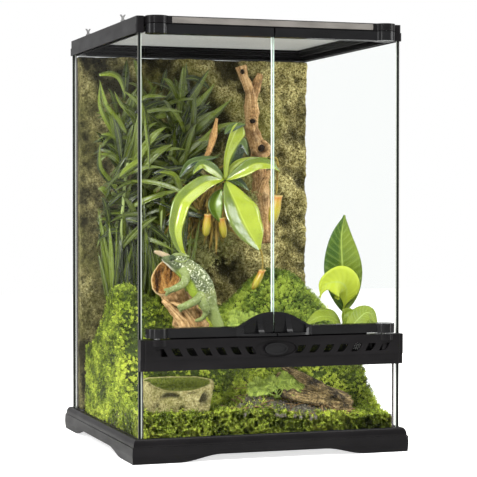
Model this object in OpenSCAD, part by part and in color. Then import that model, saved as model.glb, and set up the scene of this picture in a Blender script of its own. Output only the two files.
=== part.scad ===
// Front-opening glass terrarium: glass panes in a moulded base and top frame, twin doors hung on
// pins, a ventilation bar with a turning lock, a lift-off screen lid held by four turning clips,
// cable inlets with sliding shutters, and a planted interior.
// +Z is up and -Y is the front. The floor is z = 0.

/* [Cabin] */
// Width over the outer faces of the side panes
cabin_w = 286; // [240:1:400]
// Depth from the side panes' front edges to the back pane's outer face
cabin_d = 286; // [240:1:400]
// Height of the top frame's rim above the floor
rim_z = 450; // [380:1:700]
// Thickness of every pane
glass_t = 4; // [3:0.5:5]

/* [Base frame] */
// How far the base stands out past the panes
base_out = 8; // [6:0.5:12]
// Height of the base frame
base_h = 25; // [22:1:32]
// Height of the vertical band under the shoulder
base_band_h = 16.5; // [14:0.5:18]
// Height of the ledge the panes stand on
pane_seat_z = 17; // [15:0.5:19]
// Height of the arch between the feet
arch_h = 7; // [4:0.5:7.5]
// Length of each flat foot along a side
foot_l = 50; // [40:1:70]
// Length of the curve from a foot up to the arch
arch_run = 44; // [20:1:50]

/* [Ventilation bar] */
// Height of the bar's lower edge above the floor
bar_z = 93.5; // [80:0.5:120]
// Height of the bar
bar_h = 31.5; // [30:0.5:36]
// Height of the set-back lower lip
lip_h = 11; // [8:0.5:12]
// Wall thickness of the bar
bar_wall = 2; // [1.6:0.1:2.6]
// How far the bar stands in front of the panes
bar_out = 12; // [11:0.5:14]
// Distance of the first vent slot from the middle
slot_start = 27; // [26:0.5:32]
// Number of vent slots on each side
slot_n = 7; // [4:1:7]
// Distance between vent slots
slot_pitch = 15.7; // [12:0.1:16]
// Width of a vent slot
slot_w = 8; // [5:0.5:9]
// Height of a vent slot
slot_h = 8; // [5:0.5:9]
// Sideways lean of a vent slot
slot_lean = 4.5; // [0:0.5:6]

/* [Doors] */
// Height of the door rails
rail_h = 9.5; // [9:0.5:12]
// Gap between the two doors
door_gap = 1.5; // [1:0.1:3]
// Free height between a door and the bar or fascia
door_play = 1.5; // [0.8:0.1:2]
// Distance of the hinge axis from the side of the cabin
hinge_in = 19; // [17:0.5:24]
// Radius of the rounded hinge ends
lobe_r = 11.5; // [10:0.5:12]
// Radius of the hinge pins
pin_r = 3; // [2:0.1:3.5]
// Height of the handle's arched plate above the rail
handle_rise = 14.5; // [8:0.5:20]
// Half width of the handle across both doors
handle_half = 41; // [32:1:50]
// How far the handle's shelf stands in front of the panes
handle_out = 17; // [14:0.5:22]
// Inner and outer side of the ribs between the handle's scoops
rib_in = 12.5; // [10:0.5:14]
rib_out = 18.5; // [15:0.5:22]

/* [Lock] */
// Length of the oval knob
knob_l = 25; // [20:0.5:25]
// Height of the oval knob
knob_h = 12.2; // [9:0.1:14]
// Thickness of the oval knob
knob_t = 2.2; // [2:0.1:3]
// Radius of the knob's shaft
knob_shaft_r = 3; // [2:0.1:4]

/* [Top frame and lid] */
// How far the top frame stands out past the panes
rim_out = 2; // [1.6:0.1:3]
// Height of the top frame
rim_h = 17; // [16:0.5:22]
// Height of the frame's upper tier
tier_h = 8.5; // [8:0.5:10]
// Width of the lid frame's members
lid_member = 10.6; // [8:0.1:14]
// Depth of the rear cable channel
channel_d = 10.8; // [9:0.1:14]
// Distance of the front and rear clips from the middle
clip_y = 76; // [50:1:100]
// Height of a clip's fork above the rim
clip_h = 8; // [6:0.5:12]
// Half length of the bare strip on the fascia
strip_half = 109.3; // [80:0.1:110]
// Thickness of the bare strip
strip_t = 0.8; // [0.6:0.1:1.2]
// Distance of a cable inlet's inner end from the middle
inlet_x = 62; // [50:1:66]
// Length of a cable inlet
inlet_l = 24; // [18:1:24]
// Length of a shutter
shutter_l = 36; // [32:1:38]
// How far a shutter slides
shutter_travel = 28; // [20:1:28]

/* [Planting] */
// Thickness of the substrate
soil_t = 12; // [8:1:20]
// Thickness of the background panel without its relief
panel_t = 19.5; // [16:0.5:24]
// Depth of the background panel's relief
relief = 5; // [2:0.5:6]
// Place of the water dish, left to right
dish_x = -94; // [-96:1:-80]
// Place of the water dish, front to back
dish_y = -100; // [-102:1:-60]
// Half width of the water dish at its rim
dish_half_w = 42; // [30:1:43]
// Half depth of the water dish at its rim
dish_half_d = 30; // [24:1:32]
// Height of the water dish
dish_h = 34; // [24:1:40]
// Wall of the water dish at its rim
dish_wall = 9; // [6:0.5:12]
// Height of the dish's underside above the floor
dish_z = 45.3; // [40:0.1:60]
// Place of the middle of the cork log, left to right
log_x = 60; // [40:1:70]
// Place of the middle of the cork log, front to back
log_y = -103; // [-106:1:-60]
// Length of the cork log
log_l = 84; // [60:1:90]
// Outer radius of the cork log
log_r = 24; // [18:0.5:26]
// Thickness of the cork
log_wall = 5.5; // [4:0.5:7]
// Height of the log's axis above the floor
log_z = 46; // [42:0.5:60]
// How far the log's right end leans down, in degrees
log_tilt = 12; // [0:1:15]

/* [Hidden] */
$fn = 64;
eps = 0.01;
fit = 0.2;             // clearance round glued and seated pieces
run = 0.06;            // running clearance of pins and shafts
wall = 1.8;            // wall of the top frame

half_w = cabin_w / 2;
half_d = cabin_d / 2;
inner_w = half_w - glass_t;
inner_d = half_d - glass_t;
base_x = half_w + base_out;
base_y = half_d + base_out;

bar_top = bar_z + bar_h;
lip_top = bar_z + lip_h;
bar_front = -half_d - bar_out;
lip_front = bar_front + 1.2;
bar_rear = -inner_d + 2;
bar_end = 4;            // width of the set-back strip at each end of the bar
bar_end_back = 1.5;     // how far that strip is set back
bar_lobe_h = 6.5;       // height of the bar's hinge lobes
slot_z = bar_z + 18.5;
socket_z = lip_top + 7.5;          // floor of the hinge sockets
pane_groove_top = bar_z + 9.7;

hinge_x = half_w - hinge_in;
hinge_y = -half_d - 3;
rail_front = -half_d - 8.5;
rail_rear = -half_d + 3.5;
door_z0 = bar_top + door_play;
fascia_z = rim_z - tier_h + 0.8;
door_z1 = fascia_z - 0.6;
rail_floor = 4;        // plastic between a rail's edge and the glass
pin_bite = 3.5;        // how deep a pin sits in a door rail
stop_gap = 0.4;        // gap between a closed door and its stop
stop_half = hinge_x - lobe_r - 4.5;
door_edge = hinge_x + 12.2;        // hinge-side edge of a door's glass
door_mid = door_gap / 2;           // inner edge of a door
shelf_t = 2.5;                     // thickness of the handle's shelf
plate_back = -half_d - glass_t - fit;   // rear of the handle's plate, in front of the glass
plate_t = 2.3;                     // thickness of the handle's plate

knob_z = bar_z + 19.7;
tab_reach = door_z0 + 2.5 - knob_z;
tab_w = 7;
tab_t = 3;
tab_front = bar_front + bar_wall + 2.4;   // front of the lock's tab
tab_play = 0.2;                    // gap in front of the tab in its slots
tab_room = 3.8;                    // depth of the tab's slots

rim_x = half_w + rim_out;
rim_y = half_d + rim_out;
rim_z0 = rim_z - rim_h;
tier_z = rim_z - tier_h;
tier_inset = 0.7;
pane_top = tier_z - 0.4;
groove_in = inner_w - fit;         // inner side of the pane groove, left and right
groove_back = inner_d - fit;       // inner side of the pane groove at the back
recess_x = groove_in - wall;       // lid recess, left and right
recess_front = -half_d + 6;        // lid recess, front
channel_back = groove_back - wall;
channel_front = channel_back - channel_d;
recess_back = channel_front - wall;
ledge_z = rim_z - 8;
ledge_t = 2;
ledge_w = 10;
lid_gap = 0.4;
lid_z = ledge_z + 0.2;
lid_top = rim_z - 0.4;
mesh_z = rim_z - 5;
mesh_t = 0.5;
crossbar_y = 40;
clip_x = half_w - 2.5;

soil_z = pane_seat_z + fit + glass_t + fit;
moss_z = soil_z + soil_t + fit;
bead_leg = 2.5;
panel_y = inner_d - bead_leg - 0.5;
panel_half = inner_w - 2 * fit;
panel_top = rim_z0 - 2;
bed_half = inner_w - 3;
bed_front = -inner_d + 3.2;
bed_back = panel_y - panel_t - relief - 8;
moss_cells = [13, 12];             // cells of the moss bed's surface, across and deep
moss_cell = max(2 * bed_half / moss_cells.x, (bed_back - bed_front) / moss_cells.y);
bedding = 0.4;                     // gap between the moss and what lies on it
dish_at = [dish_x, dish_y];
dish_half = [dish_half_w, dish_half_d];
dish_flare = 1.14;                 // rim size over foot size
dish_floor = 0.47;                 // floor of the dish's pool, as a share of its height
// Corners of the dish's plan, as shares of its half sizes
dish_outline = [[-0.95, -0.82], [0.9, -0.82], [0.98, -0.3], [0.79, 0.74], [0.1, 1], [-0.63, 0.93], [-1, 0.22]];
log_at = [log_x, log_y];

// The origin is under the middle of the whole object, handles included.
front_reach = half_d + handle_out;
rear_reach = base_y;
origin_shift = (front_reach - rear_reach) / 2;

// ---------------------------------------------------------------- helpers

module placed() {
    translate([0, origin_shift, 0]) children();
}

// Box from its lowest corner to its highest corner
module span(lo, hi) {
    translate(lo) cube(hi - lo);
}

module mirrored_x() {
    children();
    mirror([1, 0, 0]) children();
}

// Profile in (y, z) drawn along X, centred on the given length
module along_x(length) {
    translate([-length / 2, 0, 0])
        rotate([90, 0, 90]) linear_extrude(length) children();
}

// Profile in (x, z) drawn along Y from y0 to y1
module along_y(y0, y1) {
    translate([0, y1, 0]) rotate([90, 0, 0]) linear_extrude(y1 - y0) children();
}

function smooth(t) = let (c = min(1, max(0, t))) c * c * (3 - 2 * c);
function arc(c, r, a0, a1, n) =
    [for (i = [0:n]) let (a = a0 + (a1 - a0) * i / n) c + r * [cos(a), sin(a)]];
function ellipse(rx, ry, n = 40) = [for (i = [0:n - 1]) [rx * cos(360 * i / n), ry * sin(360 * i / n)]];

// Rectangle with rounded corners, as a plan outline
module rounded_plan(lo, hi, r) {
    polygon(concat(
        arc([hi.x - r, hi.y - r], r, 0, 90, 6),
        arc([lo.x + r, hi.y - r], r, 90, 180, 6),
        arc([lo.x + r, lo.y + r], r, 180, 270, 6),
        arc([hi.x - r, lo.y + r], r, 270, 360, 6)));
}

// Closed block with a flat bottom at z = floor_z and a top given by a height function
module height_block(x0, x1, y0, y1, nx, ny, floor_z, height) {
    function px(i) = x0 + (x1 - x0) * i / nx;
    function py(j) = y0 + (y1 - y0) * j / ny;
    row = nx + 1;
    count = row * (ny + 1);
    top = [for (j = [0:ny]) for (i = [0:nx]) [px(i), py(j), height(px(i), py(j))]];
    bottom = [for (j = [0:ny]) for (i = [0:nx]) [px(i), py(j), floor_z]];
    rim = concat([for (i = [0:nx]) i], [for (j = [1:ny]) j * row + nx],
                 [for (i = [nx - 1:-1:0]) ny * row + i], [for (j = [ny - 1:-1:1]) j * row]);
    n = len(rim);
    middle = [[(x0 + x1) / 2, (y0 + y1) / 2, floor_z]];
    polyhedron(concat(top, bottom, middle), concat(
        [for (j = [0:ny - 1]) for (i = [0:nx - 1]) let (a = j * row + i) [a, a + row, a + 1]],
        [for (j = [0:ny - 1]) for (i = [0:nx - 1]) let (a = j * row + i) [a + 1, a + row, a + row + 1]],
        [for (k = [0:n - 1]) let (a = rim[k], b = rim[(k + 1) % n]) [a, b, count + b, count + a]],
        [for (k = [0:n - 1]) [count + rim[k], count + rim[(k + 1) % n], 2 * count]]));
}

function unit(v) = v / norm(v);
function tangent(path, i) = unit(path[min(i + 1, len(path) - 1)] - path[max(i - 1, 0)]);
function side_of(t) = unit(cross(abs(t.z) > 0.9 ? [1, 0, 0] : [0, 0, 1], t));

// Round limb swept along a path, with its own radius at each point
module limb(path, radii, sides = 10) {
    n = len(path);
    points = [for (i = [0:n - 1]) let (t = tangent(path, i), u = side_of(t), v = cross(t, u))
              for (k = [0:sides - 1]) let (a = 360 * k / sides)
              path[i] + radii[i] * (cos(a) * u + sin(a) * v)];
    polyhedron(points, concat(
        [[for (k = [0:sides - 1]) k]],
        [for (i = [0:n - 2]) for (k = [0:sides - 1]) let (a = i * sides + k, b = i * sides + (k + 1) % sides)
         [a, a + sides, b + sides, b]],
        [[for (k = [sides - 1:-1:0]) (n - 1) * sides + k]]));
}

// ---------------------------------------------------------------- base

function base_profile(reach, seat) = concat(
    [[reach - 0.7, 0], [reach, 8], [reach - 0.4, base_band_h], [reach - 1.5, base_band_h + 0.5]],
    [for (i = [1:8]) let (a = 90 * i / 8)
     [reach - 5.5 + 4 * cos(a), base_band_h + 0.5 + (base_h - base_band_h - 0.5) * sin(a)]],
    [[seat + fit, base_h], [seat + fit, pane_seat_z], [seat - 16, pane_seat_z], [seat - 16, 8.5],
     [seat - 14, 8.5], [seat - 14, pane_seat_z - 2.5], [reach - 3.2, pane_seat_z - 2.5], [reach - 3.2, 0]]);

// One side of the base, mitred at both ends
module base_side(reach, seat, across) {
    intersection() {
        rotate([90, 0, 90]) translate([0, 0, -across]) linear_extrude(2 * across)
            polygon([for (p = base_profile(reach, seat)) [-p.x, p.y]]);
        linear_extrude(base_h + 1)
            polygon([[0, across - reach], [0, reach - across], [across, -reach], [-across, -reach]]);
    }
}

// Outline cut from under a side, leaving a flat foot at each end
module arch_outline(reach) {
    flat = reach - foot_l;
    steps = 8;
    right = [for (i = [0:steps]) let (t = i / steps) [flat - arch_run * t, arch_h * smooth(t)]];
    left = [for (i = [steps:-1:0]) [-right[i].x, right[i].y]];
    polygon(concat([[flat, -1]], right, left, [[-flat, -1]]));
}

module base_ribs(reach, seat) {
    rib_t = 2;
    rib_n = 3;
    step = (seat - 20) / rib_n;
    for (i = [-rib_n:rib_n])
        span([i * step - rib_t / 2, -reach + 3, 8.5], [i * step + rib_t / 2, -seat + 15, pane_seat_z - 2]);
}

module base_frame() {
    foot_r = 8;
    color([0.07, 0.07, 0.075]) placed() {
        difference() {
            union() {
                for (s = [0, 180]) rotate(s) {
                    base_side(base_y, half_d, base_x);
                    base_ribs(base_y, half_d);
                    rotate(90) {
                        base_side(base_x, half_w, base_y);
                        base_ribs(base_x, half_w);
                    }
                }
                for (x = [-1, 1], y = [-1, 1])
                    translate([x * (base_x - foot_r - 4), y * (base_y - foot_r - 4), 0])
                        cylinder(r = foot_r, h = pane_seat_z - 2);
            }
            along_y(-base_y - 1, base_y + 1) arch_outline(base_x);
            rotate(90) along_y(-base_x - 1, base_x + 1) arch_outline(base_y);
        }
    }
}

// ---------------------------------------------------------------- panes

module pane_color() {
    color([0.8, 0.9, 0.88, 0.35]) placed() children();
}

module bottom_pane() {
    pane_color() span([-groove_in, -groove_back, pane_seat_z + fit],
                      [groove_in, groove_back, pane_seat_z + fit + glass_t]);
}

module side_pane() {
    span([-half_w, -half_d, pane_seat_z + fit], [-inner_w, half_d, pane_top]);
}

module left_pane() {
    pane_color() side_pane();
}

module right_pane() {
    pane_color() mirror([1, 0, 0]) side_pane();
}

module back_pane() {
    pane_color() span([-groove_in, inner_d, pane_seat_z + fit], [groove_in, half_d, pane_top]);
}

module front_lower_pane() {
    pane_color() span([-groove_in, -half_d + fit, pane_seat_z + fit],
                      [groove_in, -inner_d - fit, pane_groove_top - fit]);
}

// Triangular bead in an inside corner, its right angle at the origin
module bead(leg, length) {
    linear_extrude(length) polygon([[0, 0], [leg, 0], [0, leg]]);
}

module silicone_beads() {
    leg = bead_leg;
    color([0.1, 0.1, 0.1]) placed() {
        for (m = [0, 1]) mirror([m, 0, 0]) {
            translate([inner_w, inner_d, soil_z]) rotate(180) bead(leg, rim_z0 - soil_z - 2);
            translate([inner_w, -inner_d - fit, soil_z]) rotate(90) bead(leg, bar_z - soil_z);
            translate([inner_w, half_d - glass_t, soil_z - fit]) rotate([90, 0, 0]) mirror([1, 0, 0])
                bead(leg, half_d + inner_d - glass_t);
        }
        translate([-inner_w, inner_d, soil_z - fit]) rotate([90, 0, 90]) mirror([1, 0, 0])
            bead(leg, 2 * inner_w);
        translate([-inner_w, -inner_d - fit, soil_z - fit]) rotate([90, 0, 90]) bead(leg, 2 * inner_w);
    }
}

// ---------------------------------------------------------------- ventilation bar

// Plan of the bar, with a shallow step near each end
module bar_plan(front) {
    step_x = half_w - bar_end;
    end_front = front + bar_end_back;
    corner = 1.2;
    polygon(concat(
        [[half_w, -half_d - fit], [half_w, end_front], [step_x, end_front]],
        arc([step_x - corner, front + corner], corner, 0, -90, 4),
        arc([corner - step_x, front + corner], corner, -90, -180, 4),
        [[-step_x, end_front], [-half_w, end_front], [-half_w, -half_d - fit]]));
}

// Vent slot that leans outwards at its top, with a curved lower outer side
module vent_slot() {
    top_in = [slot_lean / 2 - slot_w / 2, slot_h / 2];
    low_in = [-slot_lean / 2 - slot_w / 2, -slot_h / 2];
    low_out = [slot_w / 2 - slot_lean / 2, -slot_h / 2];
    top_out = [slot_lean / 2 + slot_w / 2, slot_h / 2];
    steps = 6;
    polygon(concat([top_in, low_in], [for (i = [0:steps]) let (t = i / steps)
        (1 - t) * (1 - t) * (low_out - [2, 0]) + 2 * t * (1 - t) * (low_out + [1.5, 0.5])
        + t * t * top_out]));
}

module bar_shell() {
    difference() {
        union() {
            translate([0, 0, lip_top]) linear_extrude(bar_h - lip_h) bar_plan(bar_front);
            translate([0, 0, bar_z]) linear_extrude(lip_h) bar_plan(lip_front);
            span([-groove_in, -half_d - fit, bar_z], [groove_in, bar_rear, bar_top]);
            span([-stop_half, rail_rear + stop_gap, bar_top - 1], [stop_half, bar_rear, bar_top + 6]);
        }
        // air chamber
        span([-hinge_x - lobe_r + bar_wall, bar_front + bar_wall, lip_top + 1],
             [hinge_x + lobe_r - bar_wall, bar_rear - bar_wall, bar_top - bar_wall]);
        // open channel behind the lower lip
        span([-half_w + 3, lip_front + bar_wall, bar_z - 1], [half_w - 3, hinge_y, lip_top - bar_wall]);
        // seat of the lower front pane
        span([-groove_in - 1, -half_d, bar_z - 1], [groove_in + 1, -inner_d, pane_groove_top]);
    }
}

module ventilation_bar() {
    dish = [knob_l - 2, knob_h / 2 + 2.5];
    window_n = 8;
    window_w = 24;
    window_pitch = 27.5;
    color([0.07, 0.07, 0.075]) placed() difference() {
        union() {
            bar_shell();
            mirrored_x() translate([hinge_x, hinge_y, 0]) {
                translate([0, 0, bar_top - bar_lobe_h]) cylinder(r = lobe_r, h = bar_lobe_h);
                translate([0, 0, lip_top]) cylinder(r = pin_r + 3.5, h = bar_h - lip_h);
            }
            translate([0, 0, knob_z]) along_y(bar_front + bar_wall, bar_front + bar_wall + 2)
                polygon(ellipse(dish.x + 2, dish.y + 1.5));
        }
        // hinge sockets
        mirrored_x() translate([hinge_x, hinge_y, socket_z]) cylinder(r = pin_r, h = bar_h);
        // vent slots, leaning outwards
        mirrored_x() for (i = [0:slot_n - 1])
            translate([slot_start + i * slot_pitch, 0, slot_z])
                along_y(bar_front - 1, bar_front + bar_wall + eps) vent_slot();
        // dish round the knob and the bore of its shaft
        translate([0, 0, knob_z]) {
            along_y(bar_front - 1, bar_front + bar_wall) polygon(ellipse(dish.x, dish.y));
            rotate([90, 0, 0]) cylinder(r = knob_shaft_r + run, h = -bar_front + 1);
        }
        // slot in the top for the lock's tab
        span([-tab_w / 2 - 0.8, tab_front - tab_play, bar_top - bar_wall - 1],
             [tab_reach - 2, tab_front - tab_play + tab_room, bar_top + 1]);
        // air windows to the cabin
        for (i = [0:window_n - 1])
            translate([(i - (window_n - 1) / 2) * window_pitch, 0, 0])
                span([-window_w / 2, bar_rear - bar_wall - 1, lip_top + 4],
                     [window_w / 2, bar_rear + 1, bar_top - bar_wall - 2]);
    }
}

module ventilation_mesh() {
    half = hinge_x - lobe_r - 1;
    back = bar_rear - bar_wall;
    color([0.45, 0.45, 0.45]) placed()
        span([-half, back - 0.7, lip_top + 1.2], [half, back - 0.1, bar_top - bar_wall - 0.2]);
}

// ---------------------------------------------------------------- lock

module lock_knob() {
    rest = bar_front - 0.3;
    hollow = 1.2;
    color([0.07, 0.07, 0.075]) placed() translate([0, 0, knob_z]) {
        difference() {
            along_y(rest - knob_t, rest) polygon(ellipse(knob_l / 2, knob_h / 2));
            along_y(rest - knob_t - 1, rest - knob_t + hollow)
                polygon(ellipse(knob_l / 2 - 2, knob_h / 2 - 1.7));
        }
        along_y(rest - eps, bar_front + bar_wall - 0.2) circle(r = 5);
        along_y(bar_front + bar_wall - 0.3, bar_front + bar_wall + 7.5) circle(r = knob_shaft_r);
    }
}

module lock_cam() {
    arm = tab_reach - tab_w / 2;
    color([0.3, 0.3, 0.3]) placed() translate([0, 0, knob_z])
        along_y(tab_front, tab_front + tab_t) difference() {
            union() {
                circle(r = knob_shaft_r + 2.5);
                translate([0, -tab_w / 2]) square([arm, tab_w]);
                translate([arm, 0]) circle(d = tab_w);
            }
            circle(r = knob_shaft_r);
        }
}

// ---------------------------------------------------------------- doors
// Both doors are drawn on the right and mirrored for the left.

module rail_plan() {
    translate([hinge_x, hinge_y]) circle(r = lobe_r);
    translate([door_mid, rail_front]) square([hinge_x - door_mid, rail_rear - rail_front]);
}

module door_glass() {
    span([door_mid + 0.3, -half_d - glass_t, door_z0 + rail_floor],
         [door_edge, -half_d, door_z1 - rail_floor - 0.3]);
}

module glass_slot(z0, z1) {
    snug = 0.05;
    span([door_mid - 1, -half_d - glass_t - snug, z0], [door_edge + 3, -half_d + snug, z1]);
}

module rail_bore(z0, z1) {
    translate([hinge_x, hinge_y, z0]) cylinder(r = pin_r + run, h = z1 - z0);
}

module top_rail() {
    difference() {
        translate([0, 0, door_z1 - rail_h]) linear_extrude(rail_h) rail_plan();
        glass_slot(door_z1 - rail_h - 1, door_z1 - rail_floor);
        rail_bore(door_z1 - pin_bite - 0.2, door_z1 + 1);
    }
}

// Height of the handle's plate: a dome with flared shoulders
function handle_z(x) = door_z0 + rail_h + handle_rise * pow(max(0, 1 - pow(abs(x) / handle_half, 2.4)), 1.5);
function shelf_y(x) = rail_front - (handle_out + half_d + rail_front) * max(0, 1 - pow(x / handle_half, 2));

// Front outline of half the handle, shrunk by a margin
module handle_front(margin, x0, x1) {
    steps = 12;
    polygon(concat(
        [[x0, door_z0 + margin], [x1, door_z0 + margin]],
        [for (i = [steps:-1:0]) let (x = x0 + (x1 - x0) * i / steps)
         [x, max(handle_z(x) - margin, door_z0 + margin + 0.5)]]));
}

// The handle's solid before its scoops: a bowed shelf that sweeps up to a thin plate
module handle_solid() {
    steps = 10;
    top = door_z0 + rail_h + handle_rise;
    shelf_top = door_z0 + shelf_t;
    reach = -half_d - handle_out;
    bend = plate_back - plate_t;
    intersection() {
        along_y(reach - 1, plate_back) handle_front(0, door_mid, handle_half);
        translate([0, 0, door_z0]) linear_extrude(top) polygon(concat(
            [for (i = [0:steps]) let (x = door_mid + (handle_half - door_mid) * i / steps) [x, shelf_y(x)]],
            [[handle_half, plate_back], [door_mid, plate_back]]));
        along_x(3 * handle_half) polygon(concat(
            [[plate_back, door_z0], [reach, door_z0], [reach, shelf_top]],
            [for (i = [1:8]) let (a = 90 * i / 8)
             [bend - (bend - reach) * (1 - sin(a)), top - (top - shelf_top) * cos(a)]],
            [[plate_back, top]]));
    }
}

module handle_scoops() {
    plate_front = plate_back - plate_t;
    front = -half_d - handle_out - 1;
    for (x = [[door_mid - 1, rib_in], [rib_out, handle_half - 7]])
        intersection() {
            along_y(front, plate_front) handle_front(shelf_t, x[0], x[1]);
            span([x[0], front, door_z0 + shelf_t], [x[1], plate_front, rim_z]);
        }
}

module bottom_rail(pocket) {
    difference() {
        union() {
            difference() {
                translate([0, 0, door_z0]) linear_extrude(rail_h) rail_plan();
                // the handle's shelf and scoops take the place of the rail's front edge
                span([door_mid - 1, rail_front - 1, door_z0 - 1],
                     [handle_half - 4, plate_back, door_z0 + rail_h + 1]);
            }
            difference() {
                handle_solid();
                handle_scoops();
            }
        }
        glass_slot(door_z0 + rail_floor, rim_z);
        rail_bore(door_z0 - 1, door_z0 + pin_bite + 0.2);
        // pocket for the lock's tab
        span([door_mid - 1, tab_front - tab_play, door_z0 - 1],
             [pocket, tab_front - tab_play + tab_room, door_z0 + 3]);
    }
}

module left_door_glass() {
    pane_color() mirror([1, 0, 0]) door_glass();
}

module right_door_glass() {
    pane_color() door_glass();
}

module left_top_rail() {
    color([0.07, 0.07, 0.075]) placed() mirror([1, 0, 0]) top_rail();
}

module right_top_rail() {
    color([0.07, 0.07, 0.075]) placed() top_rail();
}

module left_bottom_rail() {
    color([0.07, 0.07, 0.075]) placed() mirror([1, 0, 0]) bottom_rail(tab_w / 2 + 0.8);
}

module right_bottom_rail() {
    color([0.07, 0.07, 0.075]) placed() bottom_rail(tab_reach - 2);
}

module hinge_pins() {
    color([0.7, 0.7, 0.72]) placed() mirrored_x() translate([hinge_x, hinge_y, 0]) {
        translate([0, 0, socket_z]) cylinder(r = pin_r, h = door_z0 + pin_bite - socket_z);
        translate([0, 0, door_z1 - pin_bite]) cylinder(r = pin_r, h = rim_z - 3 - door_z1 + pin_bite);
    }
}

// ---------------------------------------------------------------- top frame

module top_ring() {
    difference() {
        union() {
            translate([0, 0, rim_z0]) linear_extrude(tier_z - rim_z0)
                rounded_plan([-rim_x, -rim_y], [rim_x, rim_y], 2);
            translate([0, 0, tier_z - eps]) linear_extrude(tier_h)
                rounded_plan([tier_inset - rim_x, tier_inset - rim_y],
                             [rim_x - tier_inset, rim_y - tier_inset], 2);
        }
        // cabin side, with the doors' opening at the front
        span([-recess_x, -rim_y - 1, rim_z0 - 1], [recess_x, recess_back, rim_z + 1]);
        // grooves of the side and back panes
        mirrored_x() span([groove_in, -half_d - fit, rim_z0 - 1],
                          [half_w + fit, half_d + fit, pane_top + fit]);
        span([-half_w, groove_back, rim_z0 - 1], [half_w, half_d + fit, pane_top + fit]);
        // cable channel under the rear member
        span([-recess_x + 8, channel_front, rim_z0 - 1], [recess_x - 8, channel_back, ledge_z + 2]);
    }
}

module lid_ledge() {
    lip = 5;
    rim = ledge_w - 1.6;               // the lip hangs along the ledge's inner edge
    far_x = recess_x + 2;
    front = recess_front - 2;
    back = recess_back + 2;
    under = ledge_z - ledge_t;
    difference() {
        span([-recess_x - 1, recess_front - 1, ledge_z - lip], [recess_x + 1, recess_back + 1, ledge_z]);
        span([ledge_w - recess_x, recess_front + ledge_w, 0],
             [recess_x - ledge_w, recess_back - ledge_w, rim_z]);
        mirrored_x() span([recess_x - rim, front, 0], [far_x, back, under]);
        span([-far_x, front, 0], [far_x, recess_front + rim, under]);
        span([-far_x, recess_back - rim, 0], [far_x, back, under]);
    }
}

module fascia() {
    translate([0, 0, fascia_z]) linear_extrude(rim_z - fascia_z) {
        translate([-hinge_x, rail_front]) square([2 * hinge_x, recess_front - rail_front]);
        mirrored_x() translate([hinge_x, hinge_y]) circle(r = lobe_r);
    }
    // joins the fascia to the corner posts behind the lobes
    span([-recess_x - 1, recess_front - 4, fascia_z], [recess_x + 1, recess_front, rim_z]);
    // stop behind the doors' top rails
    span([-stop_half, rail_rear + stop_gap, ledge_z - 8], [stop_half, recess_front, fascia_z + 1]);
}

module top_frame() {
    pocket_end = inlet_x + shutter_l + shutter_travel + 2;
    pocket_z = ledge_z + 4;
    lobe_room = lobe_r + 1.4;
    color([0.07, 0.07, 0.075]) placed() difference() {
        union() {
            top_ring();
            difference() {
                lid_ledge();
                mirrored_x() translate([hinge_x, hinge_y, 0]) cylinder(r = lobe_room, h = fascia_z);
            }
            fascia();
        }
        mirrored_x() translate([hinge_x, hinge_y, fascia_z - 1])
            cylinder(r = pin_r, h = rim_z - 3 - fascia_z + 1);
        // the hinge lobes stop at the lid's recess
        span([-recess_x, recess_front, ledge_z], [recess_x, recess_front + ledge_w, rim_z + 1]);
        // seat of the bare strip on the fascia
        span([-strip_half - fit, rail_front - 1, fascia_z + 0.6],
             [strip_half + fit, rail_front + strip_t, rim_z - 0.6]);
        // clip bores
        for (x = [-1, 1], y = [-1, 1])
            translate([x * clip_x, y * clip_y, rim_z - 7]) cylinder(r = 2 + run, h = 8, $fn = 32);
        // shutter pockets: wide below, narrower at the top so that the shutter stays in
        mirrored_x() {
            span([inlet_x - 2, channel_front + 0.6, pocket_z], [pocket_end, channel_back - 0.6, pocket_z + 2.6]);
            span([inlet_x - 2, channel_front + 1.8, pocket_z + 1], [pocket_end, channel_back - 1.8, rim_z + 1]);
            span([inlet_x + 4, channel_front + 1.8, ledge_z],
                 [inlet_x + 4 + inlet_l, channel_back - 1.8, pocket_z + 1]);
        }
    }
}

module fascia_strip() {
    color([0.5, 0.49, 0.48]) placed()
        span([-strip_half, rail_front, fascia_z + 0.8], [strip_half, rail_front + strip_t, rim_z - 0.8]);
}

module shutter() {
    low = ledge_z + 4.2;
    color([0.1, 0.1, 0.1]) placed() {
        span([inlet_x - 1.5, channel_front + 0.9, low], [inlet_x + shutter_l - 1.5, channel_back - 0.9, low + 2.1]);
        span([inlet_x + 12, channel_front + 2.1, low + 2], [inlet_x + 21, channel_back - 2.1, rim_z]);
    }
}

module left_shutter() {
    mirror([1, 0, 0]) shutter();
}

module right_shutter() {
    shutter();
}

// ---------------------------------------------------------------- lid and clips

module lid_plan(inset) {
    rounded_plan([-recess_x + lid_gap + inset, recess_front + lid_gap + inset],
                 [recess_x - lid_gap - inset, recess_back - lid_gap - inset], 3);
}

module lid_frame() {
    color([0.08, 0.08, 0.085]) placed() {
        difference() {
            translate([0, 0, lid_z]) linear_extrude(lid_top - lid_z) lid_plan(0);
            translate([0, 0, lid_z - 1]) linear_extrude(rim_h) lid_plan(lid_member);
            translate([0, 0, mesh_z - 0.1]) linear_extrude(mesh_t + 0.2) lid_plan(lid_member - 3.2);
            // drip channel that thins the members from above
            translate([0, 0, lid_top - 1.2]) linear_extrude(2) difference() {
                lid_plan(2.5);
                lid_plan(lid_member - 2.5);
            }
        }
        span([lid_member - recess_x, crossbar_y - 2.5, mesh_z + mesh_t + 0.2],
             [recess_x - lid_member, crossbar_y + 2.5, lid_top - 1]);
    }
}

module lid_mesh() {
    color([0.6, 0.6, 0.6]) placed() translate([0, 0, mesh_z]) linear_extrude(mesh_t) lid_plan(lid_member - 3);
}

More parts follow.
